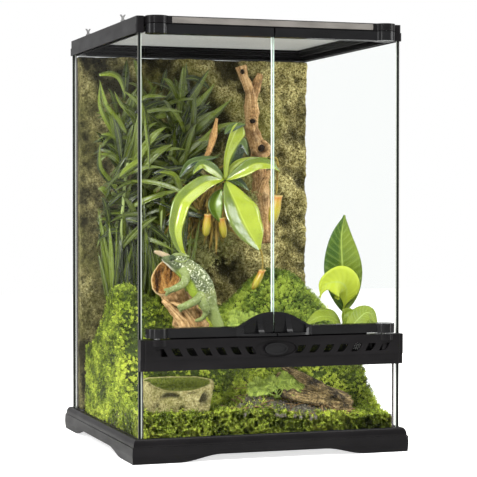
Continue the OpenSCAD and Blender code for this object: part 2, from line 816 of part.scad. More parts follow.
// Turning clip: shaft in the frame, tongue for the lid and a forked grip
module clip() {
    tongue_l = 9.5;
    color([0.35, 0.35, 0.35]) {
        translate([0, 0, rim_z - 6.5]) cylinder(r = 2, h = 7, $fn = 32);
        translate([0, 0, rim_z + 0.2]) linear_extrude(1.8) {
            circle(r = 2.4, $fn = 32);
            translate([-1.9, -tongue_l]) square([3.8, tongue_l]);
        }
        along_y(-1.2, 1.2) polygon([[-1.3, rim_z + 1.9], [1.3, rim_z + 1.9], [1.2, rim_z + 4.8],
                                    [2.9, rim_z + clip_h], [1.5, rim_z + clip_h], [0, rim_z + 6],
                                    [-1.5, rim_z + clip_h], [-2.9, rim_z + clip_h], [-1.2, rim_z + 4.8]]);
    }
}

module clip_front_left() {
    placed() translate([-clip_x, -clip_y, 0]) clip();
}

module clip_front_right() {
    placed() translate([clip_x, -clip_y, 0]) clip();
}

module clip_rear_left() {
    placed() translate([-clip_x, clip_y, 0]) clip();
}

module clip_rear_right() {
    placed() translate([clip_x, clip_y, 0]) clip();
}

// ---------------------------------------------------------------- planting

function bump(x, y, c, s) = exp(-pow((x - c.x) / s.x, 2) / 2 - pow((y - c.y) / s.y, 2) / 2);

// Hollows in the moss that the dish and the log lie in, one moss cell larger than each on all sides
function in_pad(x, y, at, half) = abs(x - at.x) < half.x + moss_cell && abs(y - at.y) < half.y + moss_cell;
function log_floor(x) = log_z - (x - log_at.x) * tan(log_tilt) - bedding;

function open_ground(x, y) =
    moss_z + 3 + 54 * smooth((y + inner_d) / 95)
    + 74 * bump(x, y, [-126, -42], [50, 46])
    + 92 * bump(x, y, [78, 48], [46, 42])
    + 42 * bump(x, y, [-12, 52], [44, 38])
    + 22 * bump(x, y, [-22, -106], [26, 18])
    - 12 * smooth((x - 90) / 40) * smooth((40 - y) / 80);
function ground(x, y) =
    in_pad(x, y, dish_at, dish_half) ? min(open_ground(x, y), dish_z - bedding)
    : in_pad(x, y, log_at, [log_l / 2, log_r]) ? min(open_ground(x, y), log_floor(x))
    : open_ground(x, y);

module substrate() {
    color([0.2, 0.15, 0.11]) placed()
        span([-bed_half, bed_front, soil_z], [bed_half, bed_back, soil_z + soil_t]);
}

module moss_bed() {
    color([0.35, 0.5, 0.12]) placed()
        height_block(-bed_half, bed_half, bed_front, bed_back, moss_cells.x, moss_cells.y, moss_z,
                     function (x, y) ground(x, y));
}

function rock(x, z) = panel_t + relief * (0.5 * sin(2.1 * x + 1.3 * z) + 0.3 * sin(3.7 * z - 40)
                                          + 0.2 * sin(5.3 * x - 2.9 * z));

module background_panel() {
    color([0.42, 0.38, 0.25]) placed() translate([0, panel_y, 0]) rotate([90, 0, 0])
        height_block(-panel_half, panel_half, soil_z + 3, panel_top, 8, 10, 0, function (x, z) rock(x, z));
}

// Leaf curved along its length: a thin blade that starts at the origin, rises along +Z and
// bends towards -Y on an arc of the given radius.
module leaf(length, width, bend) {
    rings = [[0.02, 0.28], [0.35, 0.9], [0.7, 0.8]];        // share of the length, share of the width
    thick = width * 0.08;
    function at(s) = let (a = length * s * 180 / (PI * bend)) [0, bend * (cos(a) - 1), bend * sin(a)];
    points = concat([for (r = rings) let (p = at(r[0]), w = width * r[1] / 2, t = thick * r[1])
                     each [p + [w, -0.1 * w, 0], p + [0, t, 0], p - [w, 0.1 * w, 0], p - [0, t, 0]]],
                    [at(1)]);
    n = 4;
    last = len(rings) - 1;
    polyhedron(points, concat(
        [[0, 1, 2, 3]],
        [for (i = [0:last - 1]) for (k = [0:n - 1]) let (a = i * n + k, b = i * n + (k + 1) % n)
         each [[a, a + n, b + n], [a, b + n, b]]],
        [for (k = [0:n - 1]) [last * n + k, len(points) - 1, last * n + (k + 1) % n]]));
}

// Fan of strap leaves: each entry is [tilt to the side, length, turn about the vertical]
module leaf_fan(crown, leaves, width, bend) {
    for (l = leaves)
        translate(crown) rotate([0, l[0], 0]) rotate(l[2]) leaf(l[1], width, bend);
}

module strap_leaf_plant() {
    crown = [-44, 74, 301];
    color([0.12, 0.26, 0.07]) placed() {
        limb([[-84, 88, 140], [-84, 86, 190], [-78, 82, 240], [-64, 78, 280], crown + [0, 0, 3]],
             [5, 5, 6, 4, 6], 8);
        leaf_fan(crown, [[-62, 80, 0], [-28, 92, 0], [6, 96, 0], [34, 102, 0], [60, 92, 0]], 13, 110);
    }
}

module strap_leaf_offshoot() {
    crown = [-104, 52, 302];
    color([0.12, 0.26, 0.07]) placed() {
        limb([[-108, 62, 150], [-107, 60, 200], [-106, 56, 250], crown + [0, 0, 3]], [4, 4, 5, 6], 8);
        leaf_fan(crown, [[-14, 98, 0], [22, 104, 0], [-150, 74, 0], [150, 80, 0]], 13, 90);
    }
}

module pitcher_plant() {
    color([0.5, 0.65, 0.1]) placed() {
        limb([[16, 70, 196], [10, 46, 226], [2, 22, 262], [-2, 10, 290]], [4, 3.5, 3, 3.5], 8);
        leaf_fan([-2, 10, 288], [[22, 58, 0], [-62, 32, 0], [-118, 58, 6],
                                 [150, 84, 0], [74, 56, -6], [100, 50, 10]], 24, 90);
    }
}

module broad_leaf_plant() {
    color([0.45, 0.62, 0.2]) placed() {
        limb([[112, -58, 92], [114, -60, 112], [115, -60, 136]], [5, 4, 3], 8);
        leaf_fan([115, -60, 132], [[-2, 112, 0], [-52, 52, 0], [-24, 62, 14]], 32, 90);
        leaf_fan([112, -60, 120], [[-74, 64, 0]], 26, 90);
    }
}

module forked_branch() {
    color([0.55, 0.38, 0.2]) placed() {
        limb([[47, 98, 424], [52, 98, 408], [58, 97, 392], [60, 96, 360], [62, 95, 326], [68, 95, 288],
              [74, 95, 250], [76, 92, 215]], [7, 6.5, 8.5, 9, 8.5, 9.5, 8, 7]);
        limb([[60, 96, 380], [67, 98, 398], [74, 98, 416]], [5.5, 6, 4.5], 8);
    }
}

module climbing_branch() {
    color([0.6, 0.42, 0.24]) placed()
        limb([[-101, -60, 194], [-92, -60, 184], [-76, -60, 168], [-57, -60, 149], [-41, -60, 134]],
             [12, 14, 13, 13.5, 11], 12);
}

// Half tube of bark that lies hollow side down, with its right end lower
module cork_log() {
    color([0.5, 0.36, 0.2]) placed() translate([log_x, log_y, log_z]) rotate([0, log_tilt, 0]) difference() {
        rotate([0, 90, 0]) cylinder(r = log_r, h = log_l, center = true);
        rotate([0, 90, 0]) cylinder(r = log_r - log_wall, h = log_l + 2, center = true);
        span([-log_l, -log_r - 1, -log_r - 1], [log_l, log_r + 1, 0]);
    }
}

module water_dish() {
    foot = dish_half / dish_flare;
    color([0.6, 0.52, 0.32]) placed() translate([dish_x, dish_y, dish_z]) difference() {
        linear_extrude(dish_h, scale = dish_flare)
            polygon([for (p = dish_outline) [p.x * foot.x, p.y * foot.y]]);
        translate([0, 0, dish_floor * dish_h]) linear_extrude(dish_h)
            polygon([for (p = dish_outline) [p.x * (foot.x - dish_wall), p.y * (foot.y - dish_wall)]]);
    }
}

module chameleon() {
    color([0.3, 0.42, 0.3]) placed() {
        limb([[-98, -64, 210], [-90, -64, 208], [-80, -64, 206], [-70, -64, 202], [-56, -65, 192],
              [-44, -67, 176], [-38, -72, 160], [-36, -80, 144], [-38, -82, 122]],
             [2.5, 5, 8, 7.5, 11, 10, 6.5, 4, 2.5]);
    }
}

// ---------------------------------------------------------------- drawing

base_frame();
bottom_pane();
left_pane();
right_pane();
back_pane();
front_lower_pane();
silicone_beads();
ventilation_bar();
ventilation_mesh();
top_frame();
fascia_strip();
hinge_pins();
left_shutter();
right_shutter();
left_door_glass();
left_top_rail();
left_bottom_rail();
right_door_glass();
right_top_rail();
right_bottom_rail();
lock_knob();
lock_cam();
lid_frame();
lid_mesh();
clip_front_left();
clip_front_right();
clip_rear_left();
clip_rear_right();
background_panel();
substrate();
moss_bed();
strap_leaf_plant();
strap_leaf_offshoot();
pitcher_plant();
broad_leaf_plant();
forked_branch();
climbing_branch();
cork_log();
water_dish();
chameleon();
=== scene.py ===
import math

import bpy
import numpy as np
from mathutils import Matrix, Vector, noise
from mathutils.bvhtree import BVHTree


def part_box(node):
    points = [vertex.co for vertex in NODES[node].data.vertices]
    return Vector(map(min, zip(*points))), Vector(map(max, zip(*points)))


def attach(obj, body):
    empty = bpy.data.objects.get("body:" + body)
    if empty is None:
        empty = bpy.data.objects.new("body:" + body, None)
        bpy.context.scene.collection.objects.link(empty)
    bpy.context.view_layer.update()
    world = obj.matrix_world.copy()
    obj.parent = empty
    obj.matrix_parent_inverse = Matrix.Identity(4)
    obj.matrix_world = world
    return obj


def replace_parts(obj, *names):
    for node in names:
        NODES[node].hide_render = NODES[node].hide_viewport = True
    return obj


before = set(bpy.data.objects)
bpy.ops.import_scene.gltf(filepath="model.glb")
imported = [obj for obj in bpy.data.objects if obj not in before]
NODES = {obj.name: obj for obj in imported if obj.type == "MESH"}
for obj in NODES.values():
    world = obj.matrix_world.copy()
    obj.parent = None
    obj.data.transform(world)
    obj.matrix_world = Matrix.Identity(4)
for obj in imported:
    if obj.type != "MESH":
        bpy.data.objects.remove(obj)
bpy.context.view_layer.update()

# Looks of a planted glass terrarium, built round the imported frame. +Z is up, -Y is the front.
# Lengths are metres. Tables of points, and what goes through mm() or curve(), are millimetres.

rng = np.random.default_rng(11)
CABIN = "cabin"


def mm(*values):
    """Millimetres as a numpy array in metres."""
    return np.array(values, float) * 0.001


def stand(name, data, at=(0, 0, 0)):
    """New object in the scene."""
    thing = bpy.data.objects.new(name, data)
    thing.location = at
    bpy.context.scene.collection.objects.link(thing)
    return thing


# ------------------------------------------------------------------ node helpers

class Look:
    """A material, with short names for the nodes that its colours are made from."""

    def __init__(self, name, world=None):
        self.owner = world or bpy.data.materials.new(name)
        self.owner.use_nodes = True
        self.tree = self.owner.node_tree
        self.tree.nodes.clear()
        self.out = self.add("OutputWorld" if world else "OutputMaterial")

    def add(self, kind, values=None, **settings):
        """New node with its settings, and its inputs set or linked by name or number."""
        node = self.tree.nodes.new("ShaderNode" + kind)
        for key, value in settings.items():
            setattr(node, key, value)
        for key, value in (values or {}).items():
            socket = node.inputs[key]
            if isinstance(value, bpy.types.Node):
                value = value.outputs[0]
            if isinstance(value, bpy.types.NodeSocket):
                self.tree.links.new(value, socket)
            elif socket.type == "RGBA" and len(value) == 3:
                socket.default_value = (*value, 1)
            else:
                socket.default_value = value
        return node

    def calc(self, operation, a, b=0.0):
        return self.add("Math", {0: a, 1: b}, operation=operation).outputs[0]

    def times(self, a, b):
        return self.calc("MULTIPLY", a, b)

    def plus(self, a, b):
        return self.calc("ADD", a, b)

    def split(self, vector):
        return self.add("SeparateXYZ", {0: vector}).outputs

    def spot(self, stretch=None):
        """The piece's own coordinates, stretched along each axis if asked."""
        spot = self.add("TexCoord").outputs["Object"]
        return self.add("Mapping", {"Vector": spot, "Scale": stretch}).outputs[0] if stretch else spot

    def facing(self):
        return self.split(self.add("TexCoord").outputs["Normal"])

    def marks(self):
        """A piece's own marks: mostly how far along it, how far across it, and its random tint."""
        return self.split(self.add("Attribute", attribute_name="mark").outputs["Vector"])

    def noise(self, scale, detail, rough=0.5, stretch=None, vector=None):
        values = {"Vector": vector or self.spot(stretch), "Scale": scale, "Detail": detail,
                  "Roughness": rough}
        return self.add("TexNoise", values).outputs[0]

    def cells(self, scale):
        return self.add("TexVoronoi", {"Vector": self.spot(), "Scale": scale}).outputs[0]

    def ramp(self, factor, stops):
        """Colour ramp through (place, colour) stops."""
        node = self.add("ValToRGB", {"Fac": factor})
        elements = node.color_ramp.elements
        while len(elements) < len(stops):
            elements.new(0.5)
        for element, (place, colour) in zip(elements, stops):
            element.position = place
            element.color = (*colour, 1)
        return node.outputs["Color"]

    def grade(self, factor, low, high, start=0.0, end=1.0):
        """A number that runs from low to high as the factor runs from start to end."""
        return self.add("MapRange", {"Value": factor, "From Min": start, "From Max": end,
                                     "To Min": low, "To Max": high}).outputs[0]

    def mix(self, factor, a, b, kind="MIX"):
        return self.add("Mix", {"Factor": factor, 6: a, 7: b}, data_type="RGBA", blend_type=kind).outputs[2]

    def body(self, tone, rough, gloss=0.5, relief=None, **more):
        """Principled shader. relief is the height that bumps it, the bump's depth and its strength."""
        values = {"Base Color": tone, "Roughness": rough, "Specular IOR Level": gloss, **more}
        if relief:
            height, depth, strength = relief
            values["Normal"] = self.add("Bump", {"Height": height, "Distance": depth, "Strength": strength})
        return self.add("BsdfPrincipled", values)

    def blend(self, share, a, b):
        return self.add("MixShader", {0: share, 1: a, 2: b})

    def done(self, shader):
        self.tree.links.new(shader.outputs[0], self.out.inputs["Surface"])
        return self.owner

    def solid(self, *values, **more):
        return self.done(self.body(*values, **more))

    def thin(self, through, tone, *values):
        """Leaf-like finish: a share of the light comes through in the same tone."""
        glow = self.add("BsdfTranslucent", {"Color": tone})
        return self.done(self.blend(through, self.body(tone, *values), glow))


def shade(colour, share):
    return tuple(min(1, c * share) for c in colour)


# ------------------------------------------------------------------ camera, floor and light

CAMERA_AT = mm(-592, -1777.5, 262)
CAMERA_YAW = math.radians(18.73)
CAMERA_PITCH = math.radians(-1.19)
CAMERA_LENS = 127.6
SENSOR = 36.0
# Lamps, all aimed at the cabinet's middle: name, place, width and height, power
AIM = Vector((0, 0, 0.22))
LAMPS = [("key", (-0.9, -1.5, 1.35), (0.7, 0.7), 56),
         ("right_fill", (1.9, -0.7, 1.0), (0.6, 1.2), 22),
         ("top", (0.1, -0.2, 1.7), (1.2, 1.2), 30),
         ("left_strip", (-1.7, -0.1, 0.6), (0.5, 1.4), 16),
         ("left_card", (-1.25, -1.45, 0.3), (0.14, 0.9), 6),
         ("right_card", (1.3, -0.9, 0.3), (0.14, 0.9), 5)]
WORLD_FILL = 0.36
FLOOR_SIZE = 6.0
FLOOR_GLOW = 0.72


def make_camera():
    data = bpy.data.cameras.new("camera")
    data.sensor_width = SENSOR
    data.lens = CAMERA_LENS
    data.clip_start = 0.05
    camera = stand("camera", data, CAMERA_AT)
    camera.rotation_euler = (math.pi / 2 + CAMERA_PITCH, 0, -CAMERA_YAW)
    bpy.context.scene.camera = camera


def make_lights():
    for name, at, size, power in LAMPS:
        data = bpy.data.lights.new(name, "AREA")
        data.shape = "RECTANGLE"
        data.size, data.size_y = size
        data.energy = power
        lamp = stand(name, data, at)
        lamp.rotation_euler = (AIM - lamp.location).to_track_quat("-Z", "Y").to_euler()


def make_world():
    """White for what the camera, gloss and clear glass see, and a soft warm fill for all else."""
    world = bpy.data.worlds.new("world")
    bpy.context.scene.world = world
    look = Look("world", world)
    seen = look.add("Background", {"Color": (1, 1, 1), "Strength": 1.0})
    fill = look.add("Background", {"Color": (1.0, 0.95, 0.83), "Strength": WORLD_FILL})
    path = look.add("LightPath").outputs
    through = look.calc("MAXIMUM", path["Is Glossy Ray"], path["Is Transmission Ray"])
    look.done(look.blend(look.calc("MAXIMUM", path["Is Camera Ray"], through), fill, seen))


def make_floor():
    """Pale floor that the camera sees as white, with the object's soft shadow left on it."""
    mesh = bpy.data.meshes.new("floor")
    half = FLOOR_SIZE / 2
    mesh.from_pydata([(-half, -half, 0), (half, -half, 0), (half, half, 0), (-half, half, 0)], [],
                     [(0, 1, 2, 3)])
    look = Look("floor_white")
    tone = look.ramp(look.noise(30, 4), [(0.3, (0.86, 0.86, 0.86)), (0.7, (0.9, 0.9, 0.9))])
    surface = look.add("BsdfDiffuse", {"Color": tone})
    glow = look.add("Emission", {"Strength": FLOOR_GLOW})
    both = look.add("AddShader", {0: surface, 1: glow})
    mesh.materials.append(look.done(look.blend(look.add("LightPath").outputs["Is Camera Ray"], surface,
                                               both)))
    stand("floor", mesh, (0, 0, -0.0005))


# ------------------------------------------------------------------ materials of the cabinet

def plastic(name, colour, rough, grain=2600, depth=0.00006, coat=0.0):
    """Moulded plastic: fine spark texture, faint flow marks and dust on what faces up."""
    look = Look(name)
    spark = look.noise(grain, 3, 0.6)
    flow = look.noise(26, 5, stretch=(1, 1, 3))
    tone = look.ramp(flow, [(0.3, shade(colour, 0.8)), (0.7, shade(colour, 1.35))])
    upward = look.grade(look.facing()[2], 0, 0.07, 0.2, 1.0)
    dust = look.times(upward, look.grade(look.noise(700, 8, 0.75), 0, 1, 0.45, 0.75))
    tone = look.mix(dust, tone, (0.32, 0.31, 0.3))
    uneven = look.grade(flow, rough - 0.05, rough + 0.07, 0.3, 0.7)
    coating = {"Coat Weight": coat, "Coat Roughness": 0.06}
    return look.solid(tone, uneven, 0.03, (spark, depth, 0.35), **coating)


# Share of light that glass throws back when looked at straight and at a grazing angle
GLASS_SHINE = 0.003
GLASS_GRAZING_SHINE = 0.05
# A pane's face whose normal is less than this along the thin axis is a cut edge
GLASS_EDGE = 0.7
# Beyond this distance from the middle a cut edge belongs to a side of the cabinet
OUTER_EDGE = 0.1
SILICONE_TONE = (0.085, 0.075, 0.075)


def clear_glass(look):
    """Clear float glass with a thin reflecting skin on its outer faces."""
    clear = look.add("BsdfTransparent", {"Color": (0.99, 0.996, 0.993)})
    smear = look.grade(look.noise(14, 3), 0.0, 0.03)
    shine = look.add("BsdfGlossy", {"Color": (1, 1, 1), "Roughness": smear})
    aside = look.add("LayerWeight", {"Blend": 0.5}).outputs["Facing"]
    share = look.grade(look.calc("POWER", aside, 5.0), GLASS_SHINE, GLASS_GRAZING_SHINE)
    outside = look.calc("SUBTRACT", 1.0, look.add("NewGeometry").outputs["Backfacing"])
    return look.blend(look.times(share, outside), clear, shine)


def edge_tone_and_painted_light(look, facing, spot, thin_axis):
    """Cut edges: painted light, as bright and dark bands along the inner side of the side panes and as a
    painted pale green glow on the other edges.
    """
    from_middle = look.calc("ABSOLUTE", spot[0])
    waves = look.noise(120, 3, stretch=(1, 1, 0.03))
    # Painted glow: pale green where light comes out of a cut edge.
    pale = look.ramp(waves, [(0.3, (0.36, 0.48, 0.42)), (0.6, (0.7, 0.8, 0.74))])
    if thin_axis != 0:
        return look.mix(look.calc("GREATER_THAN", from_middle, OUTER_EDGE), pale, SILICONE_TONE)
    inner, outer = 0.139, 0.143
    depth = look.grade(from_middle, 0, 1, inner, outer)
    dark = (0.006, 0.007, 0.007)
    # Painted light and shade: bright and dark bands across the side panes' front and rear cut edges; the rear
    # ones start with the silicone's own tone.
    front = look.ramp(depth, [(0.0, (0.3, 0.33, 0.29)), (0.22, (0.25, 0.27, 0.24)), (0.3, dark), (0.8, dark),
                              (0.9, (0.12, 0.12, 0.11))])
    rear = look.ramp(depth, [(0.0, SILICONE_TONE), (0.5, (0.1, 0.09, 0.09)), (0.58, (0.8, 0.82, 0.8)),
                             (0.78, (0.75, 0.77, 0.75)), (0.86, (0.03, 0.03, 0.03))])
    return look.mix(look.calc("GREATER_THAN", facing[1], 0.0), front, rear)


def pane_material(thin_axis):
    """Float glass of a pane that is thin along one axis: its other faces are the cut edges."""
    look = Look("float_glass_" + "xyz"[thin_axis])
    facing, spot = look.facing(), look.split(look.spot())
    edge = look.body(edge_tone_and_painted_light(look, facing, spot, thin_axis), 0.4, 0.0)
    flat = look.calc("GREATER_THAN", look.calc("ABSOLUTE", facing[thin_axis]), GLASS_EDGE)
    if thin_axis == 1:
        hinge_side = look.calc("GREATER_THAN", look.calc("ABSOLUTE", spot[0]), OUTER_EDGE)
        door = look.calc("LESS_THAN", spot[1], 0.0)
        flat = look.calc("MAXIMUM", flat, look.times(hinge_side, door))
    return look.done(look.blend(flat, edge, clear_glass(look)))


def steel(name, colour=(0.62, 0.62, 0.6), rough=0.35):
    """Drawn steel wire or pins, a little dull and uneven."""
    look = Look(name)
    grain = look.noise(900, 5)
    tone = look.ramp(grain, [(0.35, shade(colour, 0.75)), (0.65, colour)])
    return look.solid(tone, look.grade(grain, rough, rough + 0.2), Metallic=0.7)


def silicone():
    look = Look("silicone_bead")
    lumps = look.noise(160, 2)
    tone = look.ramp(lumps, [(0.3, shade(SILICONE_TONE, 0.7)), (0.7, SILICONE_TONE)])
    return look.solid(tone, look.grade(lumps, 0.25, 0.4), 0.5, (lumps, 0.0006, 0.5))


# ------------------------------------------------------------------ materials of the planting

def rock_material():
    """Weathered rock: fine beige grains and olive film, with painted shade in the folds and a painted shadow
    of the plants towards the left.
    """
    look = Look("granular_rock")
    depth = look.marks()[1]
    across = look.split(look.spot())[0]
    grains = look.noise(400, 9, 0.8)
    patches = look.noise(24, 9, 0.7, (1, 1, 0.7))
    cells = look.cells(420)
    tone = look.ramp(grains, [(0.39, (0.045, 0.036, 0.012)), (0.47, (0.3, 0.26, 0.1)),
                               (0.53, (0.62, 0.56, 0.28)), (0.61, (0.95, 0.92, 0.6))])
    shade = look.ramp(patches, [(0.36, (0.14, 0.13, 0.07)), (0.47, (0.6, 0.57, 0.42)),
                                (0.56, (1.0, 0.97, 0.8))])
    tone = look.mix(1.0, tone, shade, "MULTIPLY")
    green = look.grade(look.noise(13, 6), 0, 0.5, 0.48, 0.62)
    tone = look.mix(green, tone, (0.13, 0.14, 0.014))
    # Painted shadow of the plants: darker towards the left.
    tone = look.mix(look.grade(across, 0.6, 0.0, -0.13, 0.07), tone, (0.035, 0.033, 0.012))
    # Painted shade: darker the deeper a fold of the relief lies.
    tone = look.mix(look.grade(depth, 0.9, 0.0, 0.12, 0.52), tone, (0.014, 0.012, 0.004))
    rise = look.plus(grains, look.grade(cells, 0, 0.4))
    return look.solid(tone, 0.92, 0.15, (rise, 0.0026, 0.9))


def dish_material():
    """Cast stone dish: pale outside with painted shade in its hollows, and mossy inside, painted dark there
    as the shade within the bowl.
    """
    look = Look("cast_stone")
    depth, height, inside = look.marks()
    grains = look.noise(420, 9, 0.75)
    broad = look.noise(55, 6, 0.65)
    tone = look.ramp(grains, [(0.36, (0.1, 0.085, 0.03)), (0.5, (0.37, 0.32, 0.13)),
                              (0.64, (0.68, 0.62, 0.34))])
    tone = look.mix(look.grade(broad, 0.6, 0.0, 0.38, 0.52), tone, (0.14, 0.14, 0.025))
    # Painted shade: darker the deeper a hollow in the front wall is sunk.
    tone = look.mix(look.grade(depth, 0.0, 0.92, 0.15, 0.75), tone, (0.02, 0.017, 0.006))
    # The inside is moss green, painted dark as the shade within the bowl.
    inside_moss_and_shade = look.ramp(grains, [(0.35, (0.02, 0.03, 0.004)), (0.65, (0.2, 0.24, 0.03))])
    tone = look.mix(look.grade(inside, 0.0, 1.0, 0.3, 0.8), tone, inside_moss_and_shade)
    return look.solid(tone, 0.85, 0.2, (grains, 0.0018, 0.8))


def moss_material(name, dark, middle, bright):
    """Moss leaves tinted one by one, with broad patches of brighter and browner growth."""
    look = Look(name)
    along, across, tint = look.marks()
    level = look.plus(look.times(tint, 0.62), look.times(look.noise(30, 4), 0.38))
    tone = look.ramp(level, [(0.18, dark), (0.45, middle), (0.72, bright)])
    tone = look.mix(look.grade(along, 0.35, 0.0), tone, dark)
    return look.thin(0.3, tone, 0.55, 0.3)


def leaf_material(name, dark, light, rough=0.32, vein=(0.5, 0.6, 0.2), vein_width=0.1, through=0.3,
                  spots=0.0, gloss=0.5, ribs=1.0):
    """Leaf with a pale midrib, side veins, uneven green and light that comes through it."""
    look = Look(name)
    along, across, tint = look.marks()
    clouds = look.noise(60, 5)
    level = look.plus(look.times(tint, 0.8), look.times(clouds, 0.3))
    tone = look.ramp(level, [(0.15, dark), (0.9, light)])
    from_rib = look.calc("ABSOLUTE", across)
    rib = look.calc("LESS_THAN", from_rib, vein_width)
    slant = look.calc("SUBTRACT", along, look.times(from_rib, 0.12))
    side = look.calc("SINE", look.times(slant, 90.0))
    tone = look.mix(look.grade(side, 0.0, 0.16 * ribs, 0.3, 1.0), tone, vein)
    tone = look.mix(look.times(rib, 0.6), tone, vein)
    if spots:
        tone = look.mix(look.grade(look.cells(260), spots, 0.0, 0.1, 0.3), tone, shade(dark, 0.5))
    ripple = look.plus(look.times(side, 0.5 * ribs), look.times(clouds, 2.0))
    uneven = look.grade(clouds, rough - 0.06, rough + 0.1)
    return look.thin(through, tone, uneven, gloss, (ripple, 0.0004, 0.5))


def wood_material(name, dark, light, edge, scale=1.0, contrast=0.65):
    """Weathered wood: long grain that follows the limb, cracks, and darker hollows."""
    look = Look(name)
    along, across, tint = look.marks()
    lengthwise = look.add("CombineXYZ", {0: look.times(along, 14.0 * scale),
                                         1: look.times(across, 240.0 * scale), 2: tint})
    grain = look.noise(1.6, 9, 0.7, vector=lengthwise)
    both = look.plus(look.times(grain, 0.6), look.times(look.noise(380, 6, 0.7), 0.4))
    tone = look.ramp(both, [(0.38, dark), (0.48, light), (0.6, edge)])
    tone = look.mix(look.grade(look.noise(70, 6, 0.6), contrast, 0.0, 0.38, 0.5), tone, dark)
    return look.solid(tone, 0.75, 0.3, (both, 0.002, 0.9))


def stone_material(name, dark, middle, light, scale=300, depth=0.0012):
    look = Look(name)
    grains = look.noise(scale, 8, 0.7)
    tone = look.ramp(grains, [(0.3, dark), (0.5, middle), (0.68, light)])
    tone = look.mix(look.grade(look.noise(40, 4), 0.45, 0.0, 0.35, 0.55), tone, dark)
    return look.solid(tone, 0.88, 0.3, (grains, depth, 0.7))


def pitcher_material():
    """Cup of a pitcher plant: yellow-green body, reddish veins and an orange mouth."""
    look = Look("pitcher_cup")
    base = look.ramp(look.marks()[0], [(0.0, (0.3, 0.27, 0.03)), (0.45, (0.42, 0.36, 0.025)),
                                       (0.8, (0.45, 0.28, 0.03)), (0.95, (0.5, 0.2, 0.03)),
                                       (1.0, (0.6, 0.5, 0.16))])
    veins = look.noise(240, 4, stretch=(1, 1, 0.25))
    tone = look.mix(look.grade(veins, 0.0, 0.6, 0.5, 0.75), base, (0.26, 0.09, 0.015))
    return look.thin(0.2, tone, 0.28, 0.5, (veins, 0.0003, 0.5))


def cut_end_material():
    """Broken wood: pale rim, orange-brown fibres and dark cracks inside."""
    look = Look("cut_wood")
    share = look.marks()[0]
    fibres = look.noise(260, 9, 0.75, (1, 1, 0.45))
    cracks = look.noise(95, 6, stretch=(1.8, 1, 0.5))
    tone = look.ramp(fibres, [(0.38, (0.07, 0.025, 0.006)), (0.5, (0.24, 0.11, 0.025)),
                              (0.64, (0.5, 0.3, 0.1))])
    tone = look.mix(look.grade(cracks, 0.95, 0.0, 0.4, 0.49), tone, (0.02, 0.008, 0.003))
    tone = look.mix(look.grade(share, 0.0, 0.8, 0.9, 0.99), tone, (0.55, 0.42, 0.22))
    return look.solid(tone, 0.85, 0.15, (fibres, 0.003, 0.9))


def skin_material():
    """Fine scales: grey green with pale flecks on the flank, yellow green along the belly."""
    look = Look("lizard_scales")
    along, under, horn = look.marks()
    scales = look.cells(620)
    flecks = look.noise(420, 6, 0.75)
    bands = look.noise(70, 5)
    tone = look.ramp(bands, [(0.35, (0.04, 0.055, 0.018)), (0.52, (0.1, 0.125, 0.04)),
                             (0.68, (0.19, 0.21, 0.065))])
    tail = look.grade(along, 0.0, 0.75, 0.62, 0.8)
    tone = look.mix(tail, tone, (0.24, 0.3, 0.08))
    belly = look.times(look.grade(under, 0.0, 0.85, 0.68, 0.8),
                      look.times(look.grade(along, 0, 1, 0.28, 0.38), look.grade(along, 1, 0, 0.62, 0.7)))
    tone = look.mix(belly, tone, (0.24, 0.33, 0.015))
    flank = look.times(look.grade(under, 1, 0, 0.62, 0.74), look.grade(along, 0, 1, 0.12, 0.25))
    flank = look.times(flank, look.grade(along, 1, 0.1, 0.55, 0.75))
    speck = look.times(look.grade(flecks, 0, 0.95, 0.53, 0.6), flank)
    tone = look.mix(speck, tone, (0.72, 0.74, 0.55))
    chin = look.times(look.grade(under, 0, 0.7, 0.86, 0.95), look.grade(along, 1, 0, 0.2, 0.3))
    tone = look.mix(chin, tone, (0.6, 0.56, 0.45))
    tone = look.mix(look.times(horn, 0.85), tone, (0.42, 0.3, 0.2))
    rise = look.plus(scales, flecks)
    return look.solid(tone, 0.6, 0.35, (rise, 0.0007, 0.8))


# ------------------------------------------------------------------ mesh helpers

def turns(sides):
    """Number and angle of each place round a ring."""
    return [(k, 2 * math.pi * k / sides) for k in range(sides)]


def tube_faces(rows, sides):
    """Faces that join rings of points one to the next and close both ends."""
    faces = [tuple(range(sides - 1, -1, -1))]
    for i in range(rows - 1):
        for k in range(sides):
            a, b = i * sides + k, i * sides + (k + 1) % sides
            faces.append((a, b, b + sides, a + sides))
    faces.append(tuple((rows - 1) * sides + k for k in range(sides)))
    return faces


def sheet_faces(rows, columns):
    """Faces of a closed sheet: a grid of points, the same grid below it, and the edge between them."""
    count = rows * columns
    faces = []
    for i in range(rows - 1):
        for j in range(columns - 1):
            a = i * columns + j
            faces.append((a, a + 1, a + columns + 1, a + columns))
            faces.append((count + a, count + a + columns, count + a + columns + 1, count + a + 1))
        a, b = i * columns, (i + 1) * columns - 1
        faces.append((a, a + columns, count + a + columns, count + a))
        faces.append((b, count + b, count + b + columns, b + columns))
    for j in range(columns - 1):
        a, b = j, (rows - 1) * columns + j
        faces.append((a, count + a, count + a + 1, a + 1))
        faces.append((b, b + 1, count + b + 1, count + b))
    return faces


def dressed_piece(name, mesh, marks, material, smooth):
    """Piece made from a mesh, with its marks and its material, that rides on the cabinet."""
    attribute = mesh.attributes.new("mark", "FLOAT_VECTOR", "POINT")
    attribute.data.foreach_set("vector", marks.astype(np.float32).ravel())
    mesh.polygons.foreach_set("use_smooth", [smooth] * len(mesh.polygons))
    mesh.materials.append(material)
    piece = stand(name, mesh)
    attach(piece, CABIN)
    return piece


